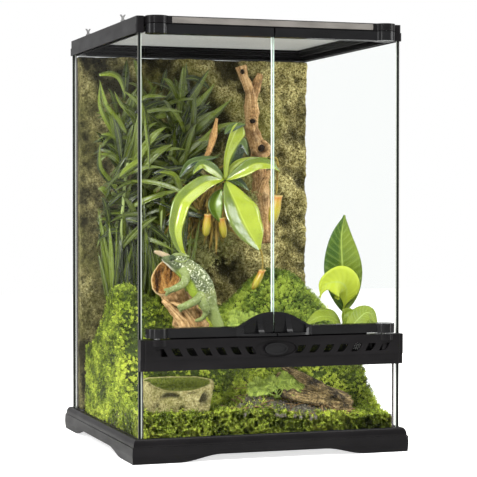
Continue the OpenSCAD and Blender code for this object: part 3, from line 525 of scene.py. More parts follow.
class Batch:
    """Collects many shapes, each with its marks, into one mesh."""

    def __init__(self):
        self.points = []
        self.marks = []
        self.faces = []
        self.count = 0

    def add(self, points, faces, marks):
        self.points.append(np.asarray(points, float))
        self.marks.append(np.asarray(marks, float))
        self.faces.extend([tuple(int(v) + self.count for v in face) for face in faces])
        self.count += len(points)

    def build(self, name, material, smooth=True):
        mesh = bpy.data.meshes.new(name)
        mesh.from_pydata(np.concatenate(self.points).tolist(), [], self.faces)
        mesh.validate()
        return dressed_piece(name, mesh, np.concatenate(self.marks), material, smooth)


def unit(vector):
    return vector / max(np.linalg.norm(vector), 1e-9)


def unit_rows(rows):
    return rows / np.maximum(np.linalg.norm(rows, axis=1), 1e-9)[:, None]


def spread(values, count):
    """Values stretched evenly over a number of places."""
    return np.interp(np.linspace(0, 1, count), np.linspace(0, 1, len(values)), values)


def lumps(spot, rough=0.8, octaves=4, step=2.1):
    """Fractal noise of about -1 to 1 at a spot."""
    return noise.fractal(Vector(spot), rough, step, octaves)


def curve(points, steps):
    """Catmull-Rom curve through points in millimetres, with the given steps between two points."""
    p = mm(*points)
    p = np.vstack([2 * p[0] - p[1], p, 2 * p[-1] - p[-2]])
    rows = []
    for i in range(1, len(p) - 2):
        for k in range(steps):
            t = k / steps
            rows.append(0.5 * (2 * p[i] + (p[i + 1] - p[i - 1]) * t
                               + (2 * p[i - 1] - 5 * p[i] + 4 * p[i + 1] - p[i + 2]) * t ** 2
                               + (3 * p[i] - p[i - 1] - 3 * p[i + 1] + p[i + 2]) * t ** 3))
    rows.append(p[-2])
    return np.array(rows)


def arched(base, tip, lift, forward, steps=12):
    """Leaf spine from a base to a tip that rises and leans forward on its way."""
    base, tip = np.asarray(base, float), np.asarray(tip, float)
    middle = (base + tip) / 2 + np.array([0, -forward, lift])
    t = np.linspace(0, 1, steps + 1)[:, None]
    return (1 - t) ** 2 * base + 2 * t * (1 - t) * middle + t ** 2 * tip


def directions(path):
    """Unit vectors along a path."""
    tangent = np.gradient(path, axis=0)
    return tangent / np.linalg.norm(tangent, axis=1)[:, None]


STRAP, BROAD, OVAL, FLARED = "strap", "broad", "oval", "flared"


def leaf_width(form, t):
    """Share of a leaf's full width at each place along it."""
    if form == STRAP:
        return np.clip(np.minimum(0.45 + 2.2 * t, 1.0) * (1 - np.clip((t - 0.5) / 0.5, 0, 1) ** 1.8), 0.03, 1)
    if form == FLARED:
        return np.clip((0.22 + 0.9 * t ** 1.4) * (1 - np.clip((t - 0.8) / 0.2, 0, 1) ** 2), 0.05, 1)
    if form == OVAL:
        return np.clip(np.sin(np.pi * np.clip(t, 0, 1) ** 1.1) ** 1.5, 0.06, 1)
    return np.clip(np.sin(np.pi * np.clip(t, 0, 1) ** 0.8) ** 0.95, 0.05, 1)


def leaf(batch, spine, width, face, form=STRAP, cup=0.25, wave=0.0, thick=0.35, tint=None, twist=0.0, painted_shade_half=0):
    """Closed thin blade along a spine. face is where its upper side looks, cup how far it folds up,
    wave how far its edge ripples, and the last argument the half (1 or -1) that is painted darker as shade."""
    columns = 5 if form == STRAP else 9
    n = len(spine)
    t = np.linspace(0, 1, n)
    half = 0.5 * width * leaf_width(form, t)
    tangent = directions(spine)
    side = unit_rows(np.cross(tangent, np.asarray(face, float)))
    up = np.cross(side, tangent)
    if twist:
        angle = (twist * t)[:, None]
        side, up = side * np.cos(angle) + up * np.sin(angle), up * np.cos(angle) - side * np.sin(angle)
    s = np.linspace(-1, 1, columns)
    phase = rng.uniform(0, 6.28)
    ripple = np.sin(17 * t[:, None] + 2.2 * s[None, :] + phase)
    rise = cup * np.abs(s)[None, :] * half[:, None] + wave * half[:, None] * (s[None, :] ** 2) * ripple
    out = side[:, None, :] * (s[None, :] * half[:, None])[:, :, None]
    top = spine[:, None, :] + out + up[:, None, :] * rise[:, :, None]
    low = top - up[:, None, :] * (thick * 0.001 * (1 - 0.6 * np.abs(s))[None, :, None])
    tint = rng.uniform(0, 1) if tint is None else tint
    # Painted shade: one half of the fold gets a lower tint.
    tints = tint - 0.55 * (np.tile(s, n) * painted_shade_half > 0)
    marks = np.stack([np.repeat(t, columns), np.tile(s, n), np.clip(tints, 0, 1)], axis=1)
    points = np.concatenate([top.reshape(-1, 3), low.reshape(-1, 3)])
    batch.add(points, sheet_faces(n, columns), np.concatenate([marks, marks]))


def leaf_rows(batch, rows, steps, wave, thick=0.6):
    """Leaves from a table of points, width in millimetres, facing, cup, tint, half painted darker as shade,
    and form.
    """
    for points, width, face, cup, tint, painted_shade_half, form in rows:
        leaf(batch, curve(points, steps), width * 0.001, face, form, cup, wave, thick, tint, painted_shade_half=painted_shade_half)


def rod(batch, path, radii, sides=10, tint=0.5, lump=0.0, lump_scale=60.0, flat=1.0):
    """Closed round limb along a path, with radii spread along it, made lumpy by noise."""
    tangent = directions(path)
    first = np.array([0, 0, 1.0]) if abs(tangent[0][2]) < 0.9 else np.array([1.0, 0, 0])
    side = unit(np.cross(first, tangent[0]))
    length = np.concatenate([[0], np.cumsum(np.linalg.norm(np.diff(path, axis=0), axis=1))])
    points, marks = [], []
    for i, radius in enumerate(spread(radii, len(path))):
        side = unit(side - tangent[i] * (side @ tangent[i]))
        up = np.cross(tangent[i], side)
        for k, a in turns(sides):
            out = side * math.cos(a) + up * math.sin(a) * flat
            r = radius
            if lump:
                r *= 1 + lump * lumps(Vector(path[i] + out * r) * lump_scale, 0.9)
            points.append(path[i] + out * r)
            marks.append((length[i], abs(k / sides - 0.5) * 0.06, tint))
    batch.add(points, tube_faces(len(path), sides), marks)


def pebble(batch, at, size, tint):
    """Rounded stone: a small sphere made lumpy by noise and flattened a little."""
    rings, sides = 5, 8
    points, marks = [], []
    turn = rng.uniform(0, 3.1)
    shape = rng.uniform(0.7, 1.1, 3) * size
    at = np.asarray(at)
    for i in range(rings + 1):
        a = math.pi * i / rings
        for k in range(1 if i in (0, rings) else sides):
            b = 2 * math.pi * k / sides + turn
            way = np.array([math.sin(a) * math.cos(b), math.sin(a) * math.sin(b), math.cos(a)])
            bulge = 1 + 0.25 * noise.noise(Vector(way * 1.7 + at * 400))
            points.append(at + way * shape * bulge)
            marks.append((a, b, tint))
    top, bottom = 0, len(points) - 1
    faces = []

    def index(i, k):
        return top if i == 0 else bottom if i == rings else 1 + (i - 1) * sides + k % sides

    for i in range(rings):
        for k in range(sides):
            face = [index(i, k), index(i + 1, k), index(i + 1, k + 1), index(i, k + 1)]
            faces.append(list(dict.fromkeys(face)))
    batch.add(points, faces, marks)


# ------------------------------------------------------------------ cabinet

BLACK = (0.0042, 0.0038, 0.0042)
GLOSSY = (0.004, 0.004, 0.0044)
SATIN_PARTS = ["lid_frame", "base_frame", "ventilation_bar", "top_frame", "left_shutter", "right_shutter",
               "lock_cam"]
SHINY_PARTS = ["lock_knob", "left_bottom_rail", "right_bottom_rail", "left_top_rail", "right_top_rail"]
CLIPS = ["clip_front_left", "clip_front_right", "clip_rear_left", "clip_rear_right"]
# Panes by the axis along which they are thin
PANES = [["left_pane", "right_pane"],
         ["back_pane", "front_lower_pane", "left_door_glass", "right_door_glass"],
         ["bottom_pane"]]


def dress(names, material):
    """Give CAD pieces that are shown as they are their material."""
    for name in names:
        mesh = NODES[name].data
        mesh.materials.clear()
        mesh.materials.append(material)


def dress_cabinet():
    dress(SATIN_PARTS, plastic("satin_black", BLACK, 0.36, coat=0.1))
    dress(SHINY_PARTS, plastic("polished_black", GLOSSY, 0.2, depth=0.00003, coat=0.22))
    dress(CLIPS, plastic("grey_clip", (0.12, 0.12, 0.12), 0.4))
    dress(["fascia_strip"], plastic("grey_strip", (0.1, 0.094, 0.087), 0.42, grain=1500))
    dress(["silicone_beads"], silicone())
    dress(["hinge_pins"], steel("pin_steel"))
    for axis, names in enumerate(PANES):
        dress(names, pane_material(axis))
    dress(["substrate"], stone_material("drainage_layer", (0.02, 0.016, 0.01), (0.08, 0.06, 0.035),
                                        (0.2, 0.16, 0.1)))


def wire_grid(name, replaced, body, across, up, pitch, wire, material):
    """Woven screen in the place of a CAD piece: wires along two axes, in two touching layers."""
    batch = Batch()
    low, high = (np.array(corner, float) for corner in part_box(replaced))
    thin = 3 - across - up
    middle = (low[thin] + high[thin]) / 2
    half = wire / 2
    faces = [(0, 1, 2, 3), (7, 6, 5, 4), (0, 4, 5, 1), (1, 5, 6, 2), (2, 6, 7, 3), (3, 7, 4, 0)]
    for run, step, layer in ((across, up, -0.5), (up, across, 0.5)):
        a, b = np.zeros(3), np.zeros(3)
        a[step] = half
        b[thin] = half
        for i in range(1, int((high[step] - low[step]) / pitch)):
            start = np.zeros(3)
            start[run] = low[run]
            start[step] = low[step] + i * pitch
            start[thin] = middle + layer * wire * 0.9
            end = start.copy()
            end[run] = high[run]
            points = [spot + corner for spot in (start, end) for corner in (a + b, b - a, -a - b, a - b)]
            batch.add(points, faces, np.full((8, 3), 0.5))
    piece = batch.build(name, material, smooth=False)
    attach(piece, body)
    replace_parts(piece, replaced)


def make_screens():
    wire_grid("lid_screen", "lid_mesh", "lid", 0, 1, 0.0019, 0.0006,
              steel("screen_wire", (0.5, 0.5, 0.48), 0.4))
    wire_grid("vent_screen", "ventilation_mesh", CABIN, 0, 2, 0.0014, 0.0009,
              steel("vent_wire", (0.02, 0.02, 0.02), 0.6))


# ------------------------------------------------------------------ ground

GRID = 0.0035
SMOOTHINGS = 6
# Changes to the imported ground: middle, half size, and rise of a mound at the left pane and of a dip
# between the branch and the rear mound
RISES = [(mm(-128, 12), mm(44, 66), 0.019), (mm(18, 30), mm(26, 60), -0.02)]


class Ground:
    """Height of the moss bed on a fine grid, smoothed from the frame's own faces."""

    def __init__(self):
        self.low, self.high = low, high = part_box("moss_bed")
        mesh = NODES["moss_bed"].data
        surface = BVHTree.FromPolygons([v.co for v in mesh.vertices],
                                       [tuple(p.vertices) for p in mesh.polygons])
        self.nx, self.ny = int((high.x - low.x) / GRID), int((high.y - low.y) / GRID)
        self.xs = np.linspace(low.x, high.x, self.nx)
        self.ys = np.linspace(low.y, high.y, self.ny)
        inset = 0.0005
        z = np.zeros((self.ny, self.nx))
        for j, y in enumerate(self.ys):
            for i, x in enumerate(self.xs):
                inside_x = min(max(x, low.x + inset), high.x - inset)
                inside_y = min(max(y, low.y + inset), high.y - inset)
                spot = Vector((inside_x, inside_y, high.z + 0.01))
                hit = surface.ray_cast(spot, Vector((0, 0, -1)))
                z[j, i] = hit[0].z if hit[0] is not None else low.z
        for _ in range(SMOOTHINGS):
            padded = np.pad(z, 1, mode="edge")
            z = (padded[:-2, 1:-1] + padded[2:, 1:-1] + padded[1:-1, :-2] + padded[1:-1, 2:] + 2 * z) / 6
        z += 0.004 * np.array([[lumps((x * 60, y * 60, 3.1), step=2.2) for x in self.xs] for y in self.ys])
        xx, yy = np.meshgrid(self.xs, self.ys)
        for middle, half, rise in RISES:
            z += rise * np.exp(-((xx - middle[0]) / half[0]) ** 2 - ((yy - middle[1]) / half[1]) ** 2)
        self.z = z

    def height(self, x, y):
        low, high = self.low, self.high
        i = np.clip((np.asarray(x) - low.x) / (high.x - low.x) * (self.nx - 1), 0, self.nx - 1.001)
        j = np.clip((np.asarray(y) - low.y) / (high.y - low.y) * (self.ny - 1), 0, self.ny - 1.001)
        i0, j0 = i.astype(int), j.astype(int)
        fi, fj = i - i0, j - j0
        return ((1 - fi) * (1 - fj) * self.z[j0, i0] + fi * (1 - fj) * self.z[j0, i0 + 1]
                + (1 - fi) * fj * self.z[j0 + 1, i0] + fi * fj * self.z[j0 + 1, i0 + 1])

    def height_at(self, x, y):
        return float(self.height(np.array([x]), np.array([y]))[0])

    def up(self, x, y):
        """Unit vectors that stand square on the ground."""
        step = 0.004
        dx = (self.height(x + step, y) - self.height(x - step, y)) / (2 * step)
        dy = (self.height(x, y + step) - self.height(x, y - step)) / (2 * step)
        return unit_rows(np.stack([-dx, -dy, np.ones_like(dx)], axis=1))

    def make_block(self):
        """Closed peat block under the moss."""
        sink = 0.002
        xx, yy = np.meshgrid(self.xs, self.ys)
        top = np.stack([xx, yy, self.z - sink], axis=2).reshape(-1, 3)
        low = top.copy()
        low[:, 2] = self.low.z
        batch = Batch()
        batch.add(np.concatenate([top, low]), sheet_faces(self.ny, self.nx), np.full((2 * len(top), 3), 0.5))
        peat = stone_material("mossy_peat", (0.008, 0.012, 0.002), (0.035, 0.055, 0.006), (0.12, 0.17, 0.015))
        batch.build("peat_block", peat)


def sprig_template(leaves, width, droop):
    """Moss sprig of unit length that grows up +Z: thin closed leaves round a stem."""
    points, faces, marks = [], [], []
    for k in range(leaves):
        h = k / leaves
        turn = 2.4 * k + rng.uniform(-0.4, 0.4)
        out = np.array([math.cos(turn), math.sin(turn), 0.0])
        way = unit(out + np.array([0, 0, rng.uniform(0.3, 1.1)]))
        side = unit(np.cross(way, [0, 0, 1.0]))
        up = np.cross(side, way)
        base = np.array([0, 0, h * 0.9])
        size = rng.uniform(0.38, 0.62) * (1 - 0.4 * h)
        middle = base + way * size * 0.45 + up * width * 0.2
        tip = base + way * size - np.array([0, 0, droop * size])
        points += [base, middle + side * width * 0.5, middle - side * width * 0.5, tip]
        faces += [(4 * k + a, 4 * k + b, 4 * k + c) for a, b,
                  c in ((0, 1, 3), (0, 3, 2), (0, 2, 1), (1, 2, 3))]
        marks += [(0.1, 0, 0), (0.6, 0, 0), (0.6, 0, 0), (1.0, 0, 0)]
    return np.array(points), np.array(faces), np.array(marks)


# Moss stays inside these: the side panes, the front pane and the floor pane
LIMIT_X = 0.1386
LIMIT_FRONT = -0.1343
LIMIT_Z = 0.0225
SPRIGS_PER_PIECE = 4000


def placed_sprigs(templates, spots, ways, sizes, tints):
    """Turned copies of the templates at the spots, pressed flat where they would pass a pane."""
    kind = rng.integers(len(templates), size=len(spots))
    turn = rng.uniform(0, 2 * math.pi, len(spots))
    z = unit_rows(ways)
    x = unit_rows(np.cross([0.31, 0.95, 0.1], z))
    y = np.cross(z, x)
    c, s = np.cos(turn)[:, None], np.sin(turn)[:, None]
    basis = np.stack([x * c + y * s, y * c - x * s, z], axis=1) * sizes[:, None, None]
    all_points, all_faces, all_marks, start = [], [], [], 0
    for k, (points, faces, marks) in enumerate(templates):
        chosen = np.nonzero(kind == k)[0]
        if not len(chosen):
            continue
        moved = np.einsum("pk,nkj->npj", points, basis[chosen]) + spots[chosen][:, None, :]
        offsets = start + np.arange(len(chosen)) * len(points)
        tinted = np.repeat(marks[None], len(chosen), axis=0)
        leafy = np.repeat(rng.uniform(-0.16, 0.16, (len(chosen), len(points) // 4)), 4, axis=1)
        tinted[:, :, 2] = np.clip(tints[chosen][:, None] + leafy, 0, 1)
        all_points.append(moved.reshape(-1, 3))
        all_marks.append(tinted.reshape(-1, 3))
        all_faces.append((faces[None] + offsets[:, None, None]).reshape(-1, 3))
        start += len(chosen) * len(points)
    points = np.concatenate(all_points)
    points[:, 0] = np.clip(points[:, 0], -LIMIT_X, LIMIT_X)
    points[:, 1] = np.maximum(points[:, 1], LIMIT_FRONT)
    points[:, 2] = np.maximum(points[:, 2], LIMIT_Z)
    return points, np.concatenate(all_faces), np.concatenate(all_marks)


def scatter(name, templates, spots, ways, sizes, tints, material):
    """Sprigs at the spots, in as many pieces as keep each one light. Gives back the pieces."""
    pieces = []
    for k, start in enumerate(range(0, len(spots), SPRIGS_PER_PIECE)):
        part = slice(start, start + SPRIGS_PER_PIECE)
        points, faces, marks = placed_sprigs(templates, spots[part], ways[part], sizes[part], tints[part])
        mesh = bpy.data.meshes.new(name)
        mesh.vertices.add(len(points))
        mesh.vertices.foreach_set("co", points.astype(np.float32).ravel())
        mesh.loops.add(3 * len(faces))
        mesh.loops.foreach_set("vertex_index", faces.astype(np.int32).ravel())
        mesh.polygons.add(len(faces))
        mesh.polygons.foreach_set("loop_start", np.arange(0, 3 * len(faces), 3, dtype=np.int32))
        mesh.update(calc_edges=True)
        pieces.append(dressed_piece(f"{name}_{k + 1}", mesh, marks, material, False))
    return pieces


def moss_tints(spots, level, swing, scale, shift, uneven):
    """Tints round a level: patches from noise, and a random share for each sprig."""
    patches = np.array([noise.noise(Vector((x * scale + shift, y * scale, z * scale))) for x, y, z in spots])
    return np.clip(level + swing * patches + rng.normal(0, uneven, len(spots)), 0, 1)


# Bare ground under the dish and the log: middle and half size
GAPS = [(*mm(-94, -95.5), *mm(40, 28)), (*mm(60, -98.5), *mm(40, 22))]
TOP_SPRIGS = 22000
# The top moss is three pieces, parted at these lines
MOSS_SPLIT_X = -0.012
MOSS_SPLIT_Y = -0.02
# Moss against the panes: name, number of sprigs, side (0 is the front)
PANE_MOSS = [("moss_on_left_pane", 10000, -1), ("moss_on_right_pane", 4000, 1),
             ("moss_on_front_pane", 6500, 0)]


def make_moss(ground):
    """Moss over the bed's top and down its front and sides, against the glass."""
    share = 1.0
    templates = [sprig_template(12, 0.13, rng.uniform(0, 0.3)) for _ in range(14)]
    bright = moss_material("bright_moss", (0.035, 0.048, 0.004), (0.28, 0.39, 0.022), (0.78, 0.87, 0.11))
    deep = moss_material("deep_moss", (0.02, 0.035, 0.005), (0.17, 0.27, 0.025), (0.5, 0.62, 0.08))
    low, high = ground.low, ground.high
    count = int(TOP_SPRIGS * share)
    x = rng.uniform(low.x, high.x, count)
    y = rng.uniform(low.y, high.y, count)
    keep = np.ones(count, bool)
    for middle_x, middle_y, half_x, half_y in GAPS:
        keep &= ~((np.abs(x - middle_x) < half_x) & (np.abs(y - middle_y) < half_y))
    x, y = x[keep], y[keep]
    spots = np.stack([x, y, ground.height(x, y) - 0.0015], axis=1)
    ways = ground.up(x, y) + rng.normal(0, 0.4, (len(x), 3)) + np.array([0, -0.35, 0.1])
    tints = moss_tints(spots, 0.48, 0.75, 34, 5.0, 0.2)
    sizes = rng.uniform(0.0032, 0.0075, len(x))
    left = x < MOSS_SPLIT_X
    rear = y > MOSS_SPLIT_Y
    for name, chosen, material in (("moss_left", left, bright), ("moss_rear_right", ~left & rear, deep),
                                   ("moss_front_right", ~left & ~rear, bright)):
        pieces = scatter(name, templates, spots[chosen], ways[chosen], sizes[chosen], tints[chosen], material)
        if name == "moss_left":
            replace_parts(pieces[0], "moss_bed")
    for name, total, side in PANE_MOSS:
        total = int(total * share)
        along = rng.uniform(0, 1, total)
        if side:
            y = low.y + along * (high.y - low.y)
            x = side * rng.uniform(0.132, 0.1362, total)
        else:
            x = low.x + along * (high.x - low.x)
            y = np.full(total, low.y)
        z = LIMIT_Z + rng.uniform(0, 1, total) * (ground.height(x, y) - LIMIT_Z + 0.002)
        spots = np.stack([x, y, z], axis=1)
        ways = np.array([0.6 * side, -0.8, 0.6]) + rng.normal(0, 0.7, (total, 3))
        tints = moss_tints(spots, 0.46, 0.6, 40, 9.0, 0.22)
        scatter(name, templates, spots, ways, rng.uniform(0.0035, 0.0085, total), tints, bright)


def make_gravel(ground):
    """Gravel along the left pane and in front of the log, with broken twigs on it."""
    grey = stone_material("grey_gravel", (0.02, 0.016, 0.01), (0.075, 0.065, 0.045), (0.26, 0.25, 0.2), 500,
                          0.0004)
    batch = Batch()
    for _ in range(330):
        y = rng.uniform(-0.131, -0.02)
        z = LIMIT_Z + rng.uniform(0.002, 0.03) * (1 - 0.5 * (y + 0.131) / 0.11)
        pebble(batch, (-0.1365 + rng.uniform(0, 0.002), y, z), rng.uniform(0.0012, 0.0024), rng.uniform(0, 1))
    for _ in range(420):
        x = rng.uniform(-0.032, 0.075)
        y = rng.uniform(-0.1325, -0.108)
        pebble(batch, (x, y, ground.height_at(x, y) + 0.0012), rng.uniform(0.0012, 0.0044),
               rng.uniform(0, 0.8))
    batch.build("gravel", grey)
    batch = Batch()
    for _ in range(120):
        x = rng.uniform(-0.035, 0.085)
        y = rng.uniform(-0.132, -0.1)
        start = np.array([x, y, ground.height_at(x, y) + 0.002])
        tip = start + np.array([rng.normal(0, 0.012), rng.uniform(-0.004, 0.006), rng.uniform(-0.001, 0.008)])
        tip[1] = max(tip[1], LIMIT_FRONT + 0.001)
        rod(batch, arched(start, tip, 0.003, 0.0, 6), [rng.uniform(0.0003, 0.0009)], 6, rng.uniform(0, 1),
            0.3)
    batch.build("twigs", wood_material("twig", (0.03, 0.014, 0.005), (0.16, 0.09, 0.035), (0.4, 0.28, 0.12)))


# ------------------------------------------------------------------ rock wall

# Rock relief: depth of the ridges, of the rough lumps and of the grit, and the ridges' scale
RIDGE_DEPTH = 0.0078
LUMP_DEPTH = 0.0042
GRIT_DEPTH = 0.0009
RIDGE_SCALE = 24
ROCK_STEP = 0.0022


def rim_of(columns, rows):
    """Numbers of a grid's edge points, in order round it."""
    rim = [i for i in range(columns)] + [j * columns + columns - 1 for j in range(1, rows)]
    rim += [(rows - 1) * columns + i for i in range(columns - 2, -1, -1)]
    return rim + [j * columns for j in range(rows - 2, 0, -1)]


def make_rock():
    """Rock-like panel: a closed block whose front has ridges that run down to the right."""
    low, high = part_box("background_panel")
    nx = int((high.x - low.x) / ROCK_STEP)
    nz = int((high.z - low.z) / ROCK_STEP)
    face = low.y + RIDGE_DEPTH
    points, marks = [], []
    for z in np.linspace(low.z, high.z, nz):
        for x in np.linspace(low.x, high.x, nx):
            spot = Vector(((0.72 * x + 0.7 * z) * RIDGE_SCALE, (0.7 * x - 0.72 * z) * 7, 1.3))
            ridge = noise.ridged_multi_fractal(spot, 0.9, 2.1, 4, 0.9, 2.0)
            grit = noise.noise(Vector((x * 600, z * 600, 2.2)))
            rough = lumps((x * 75, z * 75, 7.7), 0.7)
            rise = RIDGE_DEPTH * (ridge - 1.1) + LUMP_DEPTH * rough + GRIT_DEPTH * grit
            points.append((x, min(max(face - rise, low.y), high.y - 0.002), z))
            marks.append((0.5, 0.5 + rise / (2 * RIDGE_DEPTH), 0.5))
    count = len(points)
    starts = [j * nx + i for j in range(nz - 1) for i in range(nx - 1)]
    faces = [(a, a + 1, a + nx + 1, a + nx) for a in starts]
    rim = rim_of(nx, nz)
    backs = [(points[v][0], high.y, points[v][2]) for v in rim]
    for n, (a, b) in enumerate(zip(rim, rim[1:] + rim[:1])):
        faces.append((a, count + n, count + (n + 1) % len(rim), b))
    faces.append(tuple(count + n for n in reversed(range(len(rim)))))
    batch = Batch()
    batch.add(np.array(points + backs), faces, np.array(marks + [(0.5, 0.5, 0.5)] * len(backs)))
    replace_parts(batch.build("rock_wall", rock_material()), "background_panel")


# ------------------------------------------------------------------ plants

# Leaves that show on their own: points along the leaf, width in steps of STRAP_WIDTH_STEP
STRAP_WIDTH_STEP = 0.0013
STRAP_LEAVES = [
    ([(-24, 86, 350), (-23, 84, 380), (-26.7, 80, 403), (-26.6, 76, 423)], 8),
    ([(-26, 86, 356), (-24, 84, 375), (-16, 74, 391), (-1.7, 66, 416)], 9),
    ([(-30, 86, 336), (-25.5, 84, 359), (-12, 72, 376), (4.5, 64, 400)], 9),
    ([(-34, 86, 316), (-25.5, 84, 333), (-4.2, 66, 356), (22, 58, 381)], 10),
    ([(-38, 84, 300), (-33, 80, 314), (-11.5, 62, 330), (3.5, 52, 346), (24, 46, 355)], 10),
    ([(-38, 84, 272), (-33, 80, 286), (-16, 66, 302), (10, 58, 319)], 10),
    ([(-88, 64, 372), (-80.7, 60, 380), (-71, 52, 381.6), (-58, 46, 381.5)], 5),
    ([(-92, 56, 384), (-84.7, 50, 369), (-83, 44, 342), (-81, 42, 319.5), (-80.5, 42, 292)], 4),
    ([(-137, 44, 404), (-122, 46, 405.5), (-112, 48, 399), (-104, 54, 380)], 5),
    ([(-86, 66, 346), (-94, 62, 359), (-111, 52, 374), (-119, 46, 386)], 5),
    ([(-100, 66, 340), (-111, 62, 354), (-128, 50, 371), (-137, 42, 398)], 6),
    ([(-104, 64, 330), (-117, 62, 342), (-134, 50, 368), (-137, 42, 394)], 5),
    ([(-36, 62, 262), (-43, 50, 279), (-52, 44, 293.5), (-70, 44, 297)], 7),
    ([(-84, 56, 312), (-92.5, 52, 307), (-105, 50, 299), (-114, 48, 290)], 6),
    ([(-108, 62, 270), (-120, 60, 285), (-135, 50, 302), (-137, 42, 329)], 6),
]
# Crowns of smaller leaves: middle, number, longest length, how upright
STRAP_CROWNS = [((-36, 84, 300), 34, 90, 0.9), ((-30, 88, 340), 26, 80, 0.9), ((-100, 70, 300), 34, 84, 0.9),
                ((-78, 82, 262), 40, 80, 0.6), ((-112, 74, 236), 24, 76, 0.8), ((-58, 84, 250), 36, 80, 0.6),
                ((-74, 86, 330), 26, 80, 0.8), ((-50, 86, 372), 12, 48, 1.0), ((-96, 80, 352), 16, 60, 1.0)]
# Tips stay right of the left pane, and short of the pitcher plant, the rock wall and the top
STRAP_LEFT = -0.133
STRAP_LIMITS = (0.004, 0.1, 0.425)
# Upright blades low down behind the branch: left and right end, number
LOW_BLADES = (-122, -36, 150)
# Stems: points along the stem, radius
STRAP_STEMS = [([(-84, 92, 140), (-84, 90, 190), (-78, 86, 240), (-64, 82, 280), (-44, 80, 318),
                 (-34, 82, 372)], 3.0),
               ([(-108, 66, 150), (-107, 64, 200), (-106, 62, 250), (-100, 62, 306), (-88, 66, 345)], 2.2),
               ([(-70, 70, 160), (-60, 66, 230), (-58, 70, 300)], 1.6)]


def make_strap_plant():
    green = leaf_material("dark_strap_leaf", (0.008, 0.015, 0.001), (0.15, 0.2, 0.014), 0.26,
                          (0.2, 0.26, 0.03),
                          0.1, 0.14, gloss=0.45, ribs=0.3)
    batch = Batch()
    # Painted shade: one random half of each of these leaves is darker.
    for points, width in STRAP_LEAVES:
        leaf(batch, curve(points, 6), width * STRAP_WIDTH_STEP, (0.1, -1, 0.35), tint=rng.uniform(0.5, 0.95),
             twist=rng.uniform(-0.4, 0.4), painted_shade_half=rng.choice([-1, 1]))
    for crown, count, longest, upright in STRAP_CROWNS:
        for _ in range(count):
            side = rng.uniform(-1.25, 1.25)
            length = 0.001 * longest * rng.uniform(0.55, 1.0)
            start = mm(*crown) + rng.normal(0, 0.008, 3) * np.array([1, 0.8, 2.4])
            way = np.array([math.sin(side), rng.uniform(-0.45, 0.05), math.cos(side) * upright])
            droop = rng.uniform(0.0, 0.7) * abs(side)
            tip = start + way * length - np.array([0, 0, droop * length])
            tip = np.minimum([max(tip[0], STRAP_LEFT), tip[1], tip[2]], STRAP_LIMITS)
            spine = arched(start, tip, 0.35 * length * rng.uniform(0.2, 1), 0.1 * length)
            leaf(batch, spine, rng.uniform(0.0042, 0.0088), (0.1, -1, 0.5), tint=rng.uniform(0, 0.75) ** 1.4,
                 twist=rng.uniform(-0.8, 0.8), cup=rng.uniform(0.1, 0.5))
    left, right, count = LOW_BLADES
    for _ in range(count):
        start = mm(rng.uniform(left, right), rng.uniform(52, 88), rng.uniform(128, 165))
        lean = rng.normal(0, 0.14)
        length = rng.uniform(0.06, 0.11)
        tip = start + length * np.array([lean, rng.uniform(-0.1, 0.1), 1.0])
        tip[0] = np.clip(tip[0], STRAP_LEFT, 0.0)
        leaf(batch, arched(start, tip, 0.0, 0.008, 8), rng.uniform(0.0035, 0.007),
             (rng.uniform(-0.4, 0.4), -1, 0.1),
             tint=rng.uniform(0, 0.9) ** 2, cup=rng.uniform(0.2, 0.6))
    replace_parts(batch.build("strap_leaves", green), "strap_leaf_plant", "strap_leaf_offshoot")
    batch = Batch()
    for points, radius in STRAP_STEMS:
        rod(batch, curve(points, 8), [radius * 0.001, radius * 0.0007], 8, lump=0.15)
    dull = leaf_material("green_stem", (0.02, 0.035, 0.006), (0.1, 0.15, 0.025), 0.45)
    batch.build("strap_stems", dull)


# Leaves of the pitcher plant: points along the leaf, width, facing, cup, tint, half painted darker as shade,
# form
PITCHER_LEAVES = [
    ([(2, 24, 289), (-14, 18, 300), (-28.5, 14, 304.5), (-39, 12, 294)], 13, (-0.3, -1, 0.3), 0.3, 0.45, 1,
     BROAD),
    ([(2, 24, 289), (-15, 17, 287), (-29, 12, 282), (-52, 2, 266), (-60.5, -2, 247), (-63.4, -4, 230),
      (-57.6, -4, 211),
      (-49, -4, 203)], 19.5, (-0.25, -1, 0.35), 0.4, 0.75, 1, BROAD),
    ([(3, 22, 287), (11, 8, 261), (18, 2, 241), (26.5, -4, 223), (34.2, -6, 209)], 42, (0.2, -1, 0.15), 0.24,
     0.72, 1, BROAD),
    ([(3, 22, 288), (20, 16, 298), (36, 14, 306), (55, 16, 305), (66, 18, 298)], 17, (0.1, -0.9, 0.5), 0.25,
     0.7, -1, BROAD),
    ([(3, 26, 290), (14.4, 28, 304), (31, 30, 311.6), (58, 30, 314)], 7, (0.1, -0.8, 0.7), 0.3, 0.55, 0,
     BROAD),
]
# The leaf that opens into a trough at its top
TROUGH_LEAF = ([(2.8, 24, 289), (1.5, 16, 311.5), (6.8, 11, 333), (17, 12, 352)], 22, (0.3, -1, -0.1), 0.5,
               0.62, 0, FLARED)
